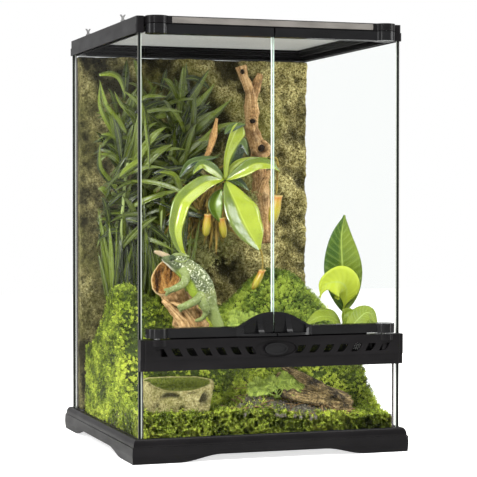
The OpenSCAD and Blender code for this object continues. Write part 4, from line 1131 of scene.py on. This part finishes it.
# Leaves behind them, in the shade
DARK_LEAVES = [
    ([(6, 34, 288), (14, 34, 312), (24, 32, 330), (34, 34, 316)], 20, (0.2, -1, 0.1), 0.2, 0.5, 1, BROAD),
    ([(-0.7, 26, 278), (-8.6, 24, 264), (-8, 22, 252), (-3.2, 22, 240)], 17, (-0.1, -1, 0.1), 0.3, 1.0, 1,
     BROAD),
    ([(4, 30, 286), (14, 28, 288), (24, 28, 284), (33, 28, 276)], 10, (0.1, -1, 0.3), 0.25, 0.3, -1, BROAD),
    ([(-3, 8, 339), (4, 8, 345), (14, 8, 349), (23, 10, 350)], 9, (0.1, -1, 0.5), 0.2, 0.45, 1, BROAD),
    ([(-46, 40, 290), (-34, 40, 306), (-16, 38, 312), (0, 36, 314)], 9, (0.1, -1, 0.4), 0.2, 0.3, 1, BROAD),
]
# Pitchers: hanging point, length, radius, lean
PITCHERS = [((66.3, 26, 271), 33, 6.6, 0.2), ((36, -8, 188), 22, 4.6, 0.5),
            ((-17.2, 24, 250), 25, 5.0, 0.1), ((-1.4, 24, 246), 23, 4.6, -0.15)]
# Tendrils that the pitchers hang on: points along each
TENDRILS = [[(58, 30, 314), (66, 27, 312), (66.3, 26, 293), (65, 26, 272)],
            [(34.2, -6, 211), (36.5, -6, 204), (36.8, -7, 195), (36, -8, 187)],
            [(-14, 24, 276), (-18, 24, 264), (-17.2, 24, 249)],
            [(-3, 24, 240), (-2, 24, 262), (-1.4, 24, 245)]]


def pitcher(batch, top, length, radius, lean):
    """Closed cup: a hanging jug with a swollen foot, a flared rim and a hollow mouth."""
    outline = [(0.0, 0.12), (0.04, 0.45), (0.16, 0.8), (0.34, 0.95), (0.58, 1.0), (0.8, 0.86), (0.93, 0.8),
               (1.0, 0.98), (0.985, 0.8), (0.9, 0.6), (0.7, 0.5), (0.5, 0.1)]
    sides = 14
    points, marks = [], []
    for h, r in outline:
        centre = top + np.array([lean * length * (h - 1), 0, length * (h - 1)])
        for k, a in turns(sides):
            lip = 0.12 * math.sin(a) * radius * (h > 0.85)
            points.append(centre + np.array([math.cos(a) * r * radius, math.sin(a) * r * radius, lip]))
            marks.append((h, abs(k / sides - 0.5), 0.5))
    batch.add(points, tube_faces(len(outline), sides), marks)


def make_pitcher_plant():
    bright = leaf_material("pitcher_leaf", (0.075, 0.13, 0.012), (0.42, 0.5, 0.03), 0.2, (0.5, 0.6, 0.1),
                           0.04, 0.24,
                           spots=0.3, gloss=0.9, ribs=0.12)
    dark = leaf_material("pitcher_leaf_shaded", (0.012, 0.035, 0.004), (0.14, 0.22, 0.015), 0.26,
                         (0.16, 0.24, 0.03),
                         0.08, 0.14, gloss=0.7, ribs=0.2)
    batch = Batch()
    leaf_rows(batch, PITCHER_LEAVES, 7, 0.06)
    leaf_rows(batch, [TROUGH_LEAF], 7, 0.0)
    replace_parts(batch.build("pitcher_plant_leaves", bright), "pitcher_plant")
    batch = Batch()
    leaf_rows(batch, DARK_LEAVES, 6, 0.05)
    rod(batch, curve([(14, 98, 280), (8, 70, 284), (4, 40, 288), (2, 26, 290)], 8), [0.0032, 0.0022], 10, 0.3)
    batch.build("pitcher_plant_shaded_leaves", dark)
    batch = Batch()
    for points in TENDRILS:
        rod(batch, curve(points, 6), [0.0012, 0.0009], 8, 0.4)
    batch.build("tendrils", wood_material("tendril", (0.1, 0.05, 0.012), (0.26, 0.18, 0.03),
                                          (0.36, 0.3, 0.06)))
    batch = Batch()
    for top, length, radius, lean in PITCHERS:
        pitcher(batch, mm(*top), length * 0.001, radius * 0.001, lean)
    batch.build("pitchers", pitcher_material())


# Moss tufts on the wall: middle, spread, number
WALL_TUFTS = [((46, 66, 266), (9, 5, 8), 300), ((-22, 86, 232), (22, 6, 26), 520),
              ((8, 84, 222), (26, 5, 15), 1100), ((-12, 82, 196), (22, 6, 12), 800)]


def make_root_tangle():
    """Fibrous roots, dead leaves and moss on the wall behind the pitcher plant."""
    batch = Batch()
    for _ in range(260):
        start = mm(rng.uniform(-44, 18), rng.uniform(78, 100), rng.uniform(236, 296))
        way = np.array([rng.normal(0, 0.4), rng.uniform(-0.5, -0.1), rng.uniform(-1.0, 0.1)])
        tip = start + unit(way) * rng.uniform(0.014, 0.042)
        tip[1] = max(tip[1], 0.066)
        leaf(batch, arched(start, tip, 0.004, 0.004, 6), rng.uniform(0.001, 0.0032), (0.1, -1, 0.2),
             tint=rng.uniform(0, 1), cup=0.4, twist=rng.uniform(-1, 1))
    for _ in range(80):
        start = mm(rng.uniform(-12, 16), rng.uniform(40, 70), rng.uniform(240, 284))
        tip = start + mm(rng.normal(0, 7), rng.uniform(-8, 6), rng.uniform(-40, -12))
        leaf(batch, arched(start, tip, 0.0, 0.004, 6), rng.uniform(0.001, 0.0028), (0.1, -1, 0.2),
             tint=rng.uniform(0, 1), cup=0.4)
    tone = leaf_material("root_fibre", (0.02, 0.012, 0.003), (0.42, 0.28, 0.06), 0.6, (0.2, 0.15, 0.05), 0.1,
                         0.05, gloss=0.15)
    batch.build("root_tangle", tone)
    green = moss_material("pale_moss", (0.08, 0.085, 0.02), (0.38, 0.38, 0.09), (0.78, 0.76, 0.34))
    templates = [sprig_template(10, 0.1, 0.2) for _ in range(4)]
    for k, (middle, half, count) in enumerate(WALL_TUFTS):
        spots = mm(*middle) + rng.normal(0, 0.5, (count, 3)) * mm(*half)
        ways = np.array([0, -1.0, 0.3]) + rng.normal(0, 0.6, (count, 3))
        scatter(f"wall_tuft_{k + 1}", templates, spots, ways, rng.uniform(0.003, 0.006, count),
                rng.uniform(0, 1, count), green)


# Leaves of the plant at the right: the same columns as PITCHER_LEAVES
BROAD_LEAVES = [
    ([(114.5, -55, 142), (114.5, -55, 169), (112.1, -56, 196.5), (110.2, -58, 223.9), (113, -60, 249.3)], 42,
     (-0.3, -1, 0.1), 0.16, 0.2, -1, BROAD),
    ([(113.5, -56, 146), (114, -62, 157), (112.5, -68, 167), (106, -73, 174.5), (95, -77, 177),
      (83, -76, 173), (78.5, -74, 160)], 37,
     (-0.25, -1, 0.1), 0.2, 0.85, 0, OVAL),
    ([(110, -58, 128), (98, -64, 137), (80, -70, 139), (62, -70, 130)], 20, (-0.2, -0.8, 0.8), 0.2, 0.4, 0,
     BROAD),
    ([(113.5, -60, 124), (116, -62, 142), (124, -62, 130)], 13, (0.1, -1, 0.3), 0.2, 0.35, 1, BROAD),
    ([(96, -108, 122), (108, -110, 138), (121, -110, 145), (133, -108, 128)], 22, (0, -0.7, 0.7), 0.15, 0.35,
     0, BROAD),
    ([(112, -62, 126), (120, -70, 138), (130, -84, 137), (134, -96, 124)], 22, (0.1, -0.8, 0.7), 0.2, 0.3, 0,
     BROAD),
]


def make_broad_plant():
    green = leaf_material("broad_leaf", (0.035, 0.08, 0.008), (0.4, 0.47, 0.035), 0.42, (0.34, 0.44, 0.1),
                          0.05, 0.14, gloss=0.22)
    batch = Batch()
    leaf_rows(batch, BROAD_LEAVES, 7, 0.08, 0.45)
    rod(batch, curve([(112, -54, 92), (114, -56, 112), (114.5, -56, 146)], 8), [0.0028, 0.002], 10, 0.9)
    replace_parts(batch.build("broad_leaves", green), "broad_leaf_plant")


# Fern clumps: foot, number of fronds, longest frond
FERN_CLUMPS = [((14, -117, 60), 9, 32), ((24, -112, 66), 6, 26), ((4, -112, 62), 6, 24),
               ((2, -44, 128), 7, 24)]


def make_ferns():
    """Small ferns in the moss: arched fronds with rows of leaflets that shorten towards the tip."""
    green = leaf_material("fern_leaf", (0.05, 0.09, 0.01), (0.4, 0.5, 0.09), 0.45, (0.35, 0.48, 0.1), 0.08,
                          0.15,
                          gloss=0.2, ribs=0.2)
    batch = Batch()
    for foot, count, longest in FERN_CLUMPS:
        for k in range(count):
            turn = -1.5 + 3.0 * (k + rng.uniform(0.2, 0.8)) / count
            length = longest * 0.001 * rng.uniform(0.65, 1.0)
            start = mm(*foot) + rng.normal(0, 0.0015, 3)
            tip = start + length * np.array([math.sin(turn), rng.uniform(-0.35, 0.15), 0.75 * math.cos(turn)])
            tip[1] = max(tip[1], LIMIT_FRONT + 0.004)
            line = arched(start, tip, 0.3 * length, 0.002, 16)
            rod(batch, line, [0.0004], 5, 0.6)
            for i in range(4, len(line)):
                along = unit(line[i] - line[i - 1])
                across = unit(np.cross(along, [0.1, -1.0, 0.3]))
                size = 0.0062 * math.sin(math.pi * (0.12 + 0.8 * (i - 3) / (len(line) - 3)))
                for side in (-1, 1):
                    end = line[i] + size * (across * side + along * 0.6) + np.array([0, -0.001, 0])
                    end[1] = max(end[1], LIMIT_FRONT + 0.0015)
                    leaf(batch, arched(line[i], end, 0.0, 0.0004, 5), 0.0019, (0.1, -1, 0.4), BROAD, 0.15,
                         thick=0.2,
                         tint=rng.uniform(0.2, 1))
    batch.build("ferns", green)


# ------------------------------------------------------------------ wood

def knot(batch, at, way, radius, depth, tint):
    """Raised ring of bark round a hole."""
    way = unit(np.asarray(way, float))
    side = unit(np.cross(way, [0, 0, 1.0]))
    up = np.cross(side, way)
    outline = [(1.3, -0.6), (1.15, 0.3), (0.9, 0.6), (0.7, 0.2), (0.5, -0.6)]
    sides = 18
    points, marks = [], []
    for r, h in outline:
        for k, a in turns(sides):
            wobble = 1 + 0.1 * noise.noise(Vector((math.cos(a) * 2, math.sin(a) * 2, at[2] * 300)))
            out = side * math.cos(a) + up * math.sin(a)
            points.append(at + out * radius * r * wobble + way * depth * h)
            marks.append((r * 0.05, k / sides * 0.05, tint))
    batch.add(points, tube_faces(len(outline), sides), marks)


def make_forked_branch(wood):
    """Forked vine up the rock wall, with two knots, three holes filled with near-black lumps, and a piece of
    dry bark beside it.
    """
    batch = Batch()
    main = curve([(49, 103, 423), (53, 102, 408), (59, 101, 392), (60, 100, 372), (61, 100, 350),
                  (68, 99, 326),
                  (70, 99, 290), (75, 98, 250), (77, 96, 215)], 9)
    rod(batch, main, [0.0065, 0.0058, 0.0068, 0.0085, 0.0078, 0.0092, 0.0085, 0.0095, 0.0075], 22, lump=0.35)
    fork = curve([(61, 100, 380), (66, 102, 396), (72, 103, 414)], 9)
    rod(batch, fork, [0.005, 0.0062, 0.0038], 18, 0.7, 0.35)
    low_piece = curve([(82, 94, 300), (72, 92, 285), (66, 92, 268)], 8)
    rod(batch, low_piece, [0.003, 0.0048, 0.003], 14, 0.8, 0.3)
    knot(batch, mm(59, 92, 358), (-0.35, -1, 0), 0.005, 0.004, 0.2)
    knot(batch, mm(69, 89.5, 326), (-0.3, -1, 0.2), 0.0092, 0.005, 0.9)
    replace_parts(batch.build("forked_wood", wood), "forked_branch")
    batch = Batch()
    # Near-black lumps fill the three holes.
    for at, size in (((58.6, 90.4, 358), 0.0034), ((68.6, 87.8, 326.4), 0.0056), ((48.4, 97.2, 416), 0.0036)):
        pebble(batch, mm(*at), size, 0.1)
    dark_hole_fill = stone_material("near_black_hole_fill", (0.006, 0.004, 0.002), (0.018, 0.01, 0.005), (0.05, 0.026, 0.012))
    batch.build("knot_holes", dark_hole_fill)
    batch = Batch()
    line = curve([(-1.5, 40, 358), (-4.5, 44, 339), (-7.5, 46, 324), (-14, 48, 309)], 8)
    rod(batch, line, [0.003, 0.0085, 0.009, 0.004], 16, lump=0.45, flat=0.3)
    dry = wood_material("dry_bark", (0.1, 0.045, 0.012), (0.46, 0.24, 0.08), (0.7, 0.46, 0.2))
    batch.build("dry_bark_piece", dry)


# Broken end of the climbing branch: middle, half width, half height and depth, and rings from its
# rim to its hollow middle as a share of the size and of the depth
CUT_MIDDLE = mm(-92.5, -66, 183.5)
CUT_SIZE = (0.0145, 0.0195, 0.012)
CUT_RINGS = [(1.0, -0.5), (1.0, 0.16), (0.9, 0.18), (0.82, 0.05), (0.7, -0.12), (0.45, -0.22), (0.2, -0.16)]


def make_climbing_branch(wood):
    """Hollowed branch that rises to the left, with its pale rim and brown inside towards the viewer."""
    batch = Batch()
    line = curve([(-88, -53, 178), (-83.5, -54, 170), (-75, -54, 157), (-66, -54, 144), (-60, -55, 131),
                  (-56, -56, 113)], 10)
    rod(batch, line, [0.0080, 0.0142, 0.0135, 0.0150, 0.0152, 0.0150], 34, 0.8, 0.4, 55)
    for points, radii in (([(-96, -66, 160), (-84, -68, 148), (-72, -68, 134), (-66, -66, 118)],
                           [0.002, 0.0045, 0.005, 0.004]),
                          ([(-88, -68, 158), (-76, -70, 152), (-64, -69, 138), (-55, -66, 120)],
                           [0.0015, 0.0035, 0.0045, 0.004])):
        rod(batch, curve(points, 8), radii, 12, 0.3, 0.4, 80)
    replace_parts(batch.build("climbing_wood", wood), "climbing_branch")
    way = unit(np.array([-0.35, -1.0, 0.18]))
    side = unit(np.cross(way, [0.45, 0, 1.0]))
    up = np.cross(side, way)
    half_wide, half_tall, depth = CUT_SIZE
    sides = 40
    points, marks = [], []
    for r, h in CUT_RINGS:
        for k, a in turns(sides):
            ragged = 1 + 0.06 * lumps((math.cos(a) * 2.4, math.sin(a) * 2.4, r))
            across = side * math.cos(a) * half_wide + up * math.sin(a) * half_tall
            points.append(CUT_MIDDLE + across * r * ragged + way * depth * h)
            marks.append((r, a / 60, 0.4))
    batch = Batch()
    batch.add(points, tube_faces(len(CUT_RINGS), sides), marks)
    batch.build("branch_cut_end", cut_end_material())


LOG_MIDDLE = mm(58, -98.5, 48.5)
LOG_TILT = math.radians(15)


def make_log():
    """Half tube of cork bark, broken and splintered at its right end, and a root behind it."""
    half_length, outer, inner = 0.042, 0.024, 0.0185
    rows, sides = 46, 26
    points, marks = [], []
    for layer in (0, 1):
        for i in range(rows):
            s = i / (rows - 1)
            for k in range(sides):
                a = math.pi * k / (sides - 1)
                broad, fine = noise.noise(Vector((a * 3, 0.3, 4.0))), noise.noise(Vector((a * 11, 1.3, 4.0)))
                ragged = (0.5 + (0.006 * broad + 0.003 * fine) * 100) * 0.006 * max(0, s - 0.8) * 5
                x = -half_length + 2 * half_length * s - ragged
                lump = lumps((x * 40, a * 2.2, layer * 9.0), octaves=5)
                r = inner + lump * 0.001 if layer else outer - 0.0006 + (lump * 0.0034 - 0.0018)
                z = math.sin(a) * r
                turned = (x * math.cos(LOG_TILT) + z * math.sin(LOG_TILT), math.cos(a) * r,
                          -x * math.sin(LOG_TILT) + z * math.cos(LOG_TILT))
                points.append(LOG_MIDDLE + np.array(turned))
                marks.append((x, a * 0.02, 0.4 + 0.5 * layer))
    batch = Batch()
    outward = [(a, d, c, b) for a, b, c, d in sheet_faces(rows, sides)]
    batch.add(points, outward, marks)
    root = curve([(22, -112, 91), (40, -116, 80), (60, -119, 69), (88, -120, 55)], 10)
    rod(batch, root, [0.003, 0.0048, 0.005, 0.0028], 14, 0.9, 0.4)
    bark = wood_material("cork_bark", (0.008, 0.005, 0.002), (0.085, 0.055, 0.018), (0.46, 0.34, 0.15), 2.0,
                         0.95)
    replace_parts(batch.build("cork_bark", bark), "cork_log")


# ------------------------------------------------------------------ dish

DISH_MIDDLE = mm(-90.5, -95.5, 45.3)
DISH_HALF = mm(38.5, 30)
DISH_HEIGHT = 0.034
DISH_CORNERS = [(-0.95, -0.82), (0.9, -0.82), (0.98, -0.3), (0.79, 0.74), (0.1, 1), (-0.63, 0.93), (-1, 0.22)]
# Profile of the dish up its outside and down its inside: height, share of its width
DISH_OUTSIDE = [(0.0, 0.8), (0.1, 0.87), (0.2, 0.885), (0.3, 0.9), (0.4, 0.915), (0.5, 0.93), (0.6, 0.945),
                (0.7, 0.96), (0.8, 0.98), (0.9, 0.995), (0.97, 0.99), (1.0, 0.95)]
DISH_INSIDE = [(0.96, 0.86), (0.8, 0.8), (0.62, 0.74), (0.5, 0.66), (0.48, 0.5), (0.475, 0.25)]
# Hollows in the front wall: across, up, half width, half height, depth
DISH_HOLLOWS = [(-0.35, 0.66, 0.34, 0.1, 0.0042), (0.02, 0.12, 0.1, 0.14, 0.005),
                (0.72, 0.5, 0.14, 0.24, 0.0038),
                (0.3, 0.74, 0.2, 0.06, 0.0026), (-0.8, 0.3, 0.12, 0.16, 0.0022)]


def make_dish():
    """Cast stone dish: seven-cornered, flared, with hollows in its rough outside and a mossy pool."""
    per_side = 22
    outline = []
    for (ax, ay), (bx, by) in zip(DISH_CORNERS, DISH_CORNERS[1:] + DISH_CORNERS[:1]):
        for t in (k / per_side for k in range(per_side)):
            outline.append((ax + (bx - ax) * t, ay + (by - ay) * t))
    levels = [(*level, 0) for level in DISH_OUTSIDE] + [(*level, 1) for level in DISH_INSIDE]
    points, marks = [], []
    for h, share, inside in levels:
        for sx, sy in outline:
            flat = np.array([sx, sy]) * DISH_HALF * share
            rough = 0.0022 * lumps(Vector((*flat, h * DISH_HEIGHT)) * 1000 * 0.09,
                                   octaves=5) if h > 0.05 else 0
            sunk = 0
            if not inside and sy < -0.8:
                for hx, hz, wide, tall, deep in DISH_HOLLOWS:
                    bend = 0.16 * ((sx - hx) / wide) ** 2
                    sunk += deep * math.exp(-((sx - hx) / wide) ** 4 - ((h - hz + bend) / tall) ** 2)
            dip = -0.01 * (1 - min(1, abs(sx)) ** 2.5) * h ** 4 * (sy < -0.7) * (share > 0.8)
            flat = flat + unit(np.array([sx, sy])) * (-abs(rough) - sunk)
            points.append(DISH_MIDDLE + np.array([*flat, h * DISH_HEIGHT + dip]))
            marks.append((min(sunk / 0.004, 1), h, inside))
    batch = Batch()
    batch.add(points, tube_faces(len(levels), len(outline)), marks)
    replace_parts(batch.build("stone_dish", dish_material()), "water_dish")


# ------------------------------------------------------------------ lizard

LIZARD_Y = -74
# Body from the snout to the tail: x, z, half height, half width
BODY_ROWS = [(-99, 204.8, 1.8, 1.8), (-96, 204, 4.2, 3.4), (-91, 202.4, 6.0, 4.6), (-85, 199.5, 8.4, 5.2),
             (-78, 196, 10.2, 5.6), (-70, 190.5, 11.8, 6.4), (-62.5, 183, 13.4, 7.2), (-56.5, 173, 14.4, 7.4),
             (-51, 162, 12.2, 6.6), (-46, 151, 8.2, 5.4), (-41.5, 142, 6.6, 4.6), (-37, 133, 5.6, 3.8),
             (-33, 122, 4.4, 3.0)]
# Legs and toes: points as x, distance in front of the body's middle, z; radii
LIMBS = [([(-79, 5, 194), (-75.5, 8, 186), (-78, 9, 178.5), (-86, 8, 173.6), (-93, 6, 170.8)],
          [0.0040, 0.0046, 0.0044, 0.0036, 0.0030]),
         ([(-92, 6, 171), (-95, 5, 171.6), (-97.5, 3, 171.4)], [0.0026, 0.0021, 0.0013]),
         ([(-92, 6, 170.6), (-94.5, 4, 168), (-95, 2, 165.5)], [0.0026, 0.0021, 0.0013]),
         ([(-57, 5, 166), (-63, 9, 161), (-71, 10, 157), (-79, 9, 153.4)], [0.0052, 0.0046, 0.0042, 0.0038]),
         ([(-78, 9, 153.6), (-80.5, 7, 151.5), (-80, 5, 149)], [0.0033, 0.0026, 0.0016]),
         ([(-78, 9, 153.8), (-81.5, 8, 154), (-83, 5, 153)], [0.0033, 0.0026, 0.0016]),
         ([(-59, 6, 164), (-56, 9, 155), (-52.5, 9, 148.6)], [0.0052, 0.0050, 0.0042]),
         ([(-53, 9, 149), (-55.5, 8, 143), (-58.5, 6, 139.6)], [0.0038, 0.0026, 0.0022]),
         ([(-58, 6, 140), (-61, 4, 139), (-63, 2, 138.2)], [0.0023, 0.0019, 0.0012])]


def in_front(points, steps):
    """Curve through points given as x, distance in front of the body's middle, and z."""
    return curve([(x, LIZARD_Y - ahead, z) for x, ahead, z in points], steps)


def loft(batch, path, tall, wide, sides, body=False, tint=0.0):
    """Closed limb along a path with its own half height and half width at each point."""
    path = np.asarray(path)
    tangent = directions(path)
    tall, wide = spread(tall, len(path)), spread(wide, len(path))
    points, marks = [], []
    for i, spot in enumerate(path):
        across = unit(np.cross(tangent[i], [0, -1.0, 0]))
        out = np.cross(across, tangent[i])
        for k, a in turns(sides):
            points.append(spot + across * math.cos(a) * tall[i] + out * math.sin(a) * wide[i])
            marks.append((i / len(path), 0.5 + 0.5 * math.cos(a), tint) if body else (0.72, 0.5, tint))
    batch.add(points, tube_faces(len(path), sides), marks)


def make_lizard():
    """Chameleon on the branch, head up to the left: body, casque, eye, legs, toes and tail."""
    batch = Batch()
    body = in_front([(x, 0, z) for x, z, tall, wide in BODY_ROWS], 6)
    n = len(body)
    tall = spread(mm(*[row[2] for row in BODY_ROWS]), n)
    wide = spread(mm(*[row[3] for row in BODY_ROWS]), n)
    loft(batch, body, tall, wide, 30, body=True)
    crest = in_front([(-89, 0, 206), (-84, 0, 208), (-76, 0, 207.5), (-69, 0, 205.8)], 5)
    loft(batch, crest, [0.0014, 0.002, 0.002, 0.0008], [0.0016, 0.0024, 0.002, 0.0008], 12)
    ridge = in_front([(-88, 5, 203), (-82, 5.6, 201), (-76, 5.4, 201), (-71, 4.5, 204)], 5)
    loft(batch, ridge, [0.0008, 0.0012, 0.0012, 0.0006], [0.0008, 0.0012, 0.0012, 0.0006], 10)
    snout = in_front([(-92, 0, 206), (-97, 0, 208), (-102, 0, 210), (-107.5, 0, 211.6)], 8)
    lumpy = 1 + 0.22 * np.sin(np.arange(len(snout)) * 2.4)
    loft(batch, snout, spread([0.0026, 0.0027, 0.0026, 0.0013], len(snout)) * lumpy,
         spread([0.0022, 0.002, 0.0019, 0.0012], len(snout)) * lumpy, 14, tint=0.9)
    for points, radii in LIMBS:
        loft(batch, in_front(points, 6), radii, radii, 14)
    for i in range(14, n - 2, 2):
        out = -np.cross(unit(body[i + 1] - body[i - 1]), [0, -1.0, 0])
        base = body[i] + out * tall[i] * 0.95
        spine = [base - out * 0.001, base + out * 0.0006, base + out * 0.0014]
        loft(batch, spine, [0.0010, 0.0007, 0.0001], [0.0008, 0.0006, 0.0001], 6)
    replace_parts(batch.build("chameleon_body", skin_material()), "chameleon")
    batch = Batch()
    pebble(batch, mm(-89.8, LIZARD_Y - 5.4, 205), 0.0036, 0.0)
    lid = stone_material("eye_skin", (0.008, 0.012, 0.006), (0.035, 0.05, 0.02), (0.12, 0.16, 0.07), 700,
                         0.0004)
    batch.build("chameleon_eye", lid)


# ------------------------------------------------------------------ run

make_camera()
make_lights()
make_world()
make_floor()
dress_cabinet()
make_screens()
ground = Ground()
ground.make_block()
make_moss(ground)
make_gravel(ground)
make_rock()
make_strap_plant()
make_pitcher_plant()
make_root_tangle()
make_broad_plant()
vine = wood_material("vine_wood", (0.09, 0.04, 0.012), (0.42, 0.24, 0.09), (0.72, 0.5, 0.26))
make_forked_branch(vine)
make_climbing_branch(vine)
make_log()
make_ferns()
make_dish()
make_lizard()

bpy.context.scene.view_settings.view_transform = "Standard"
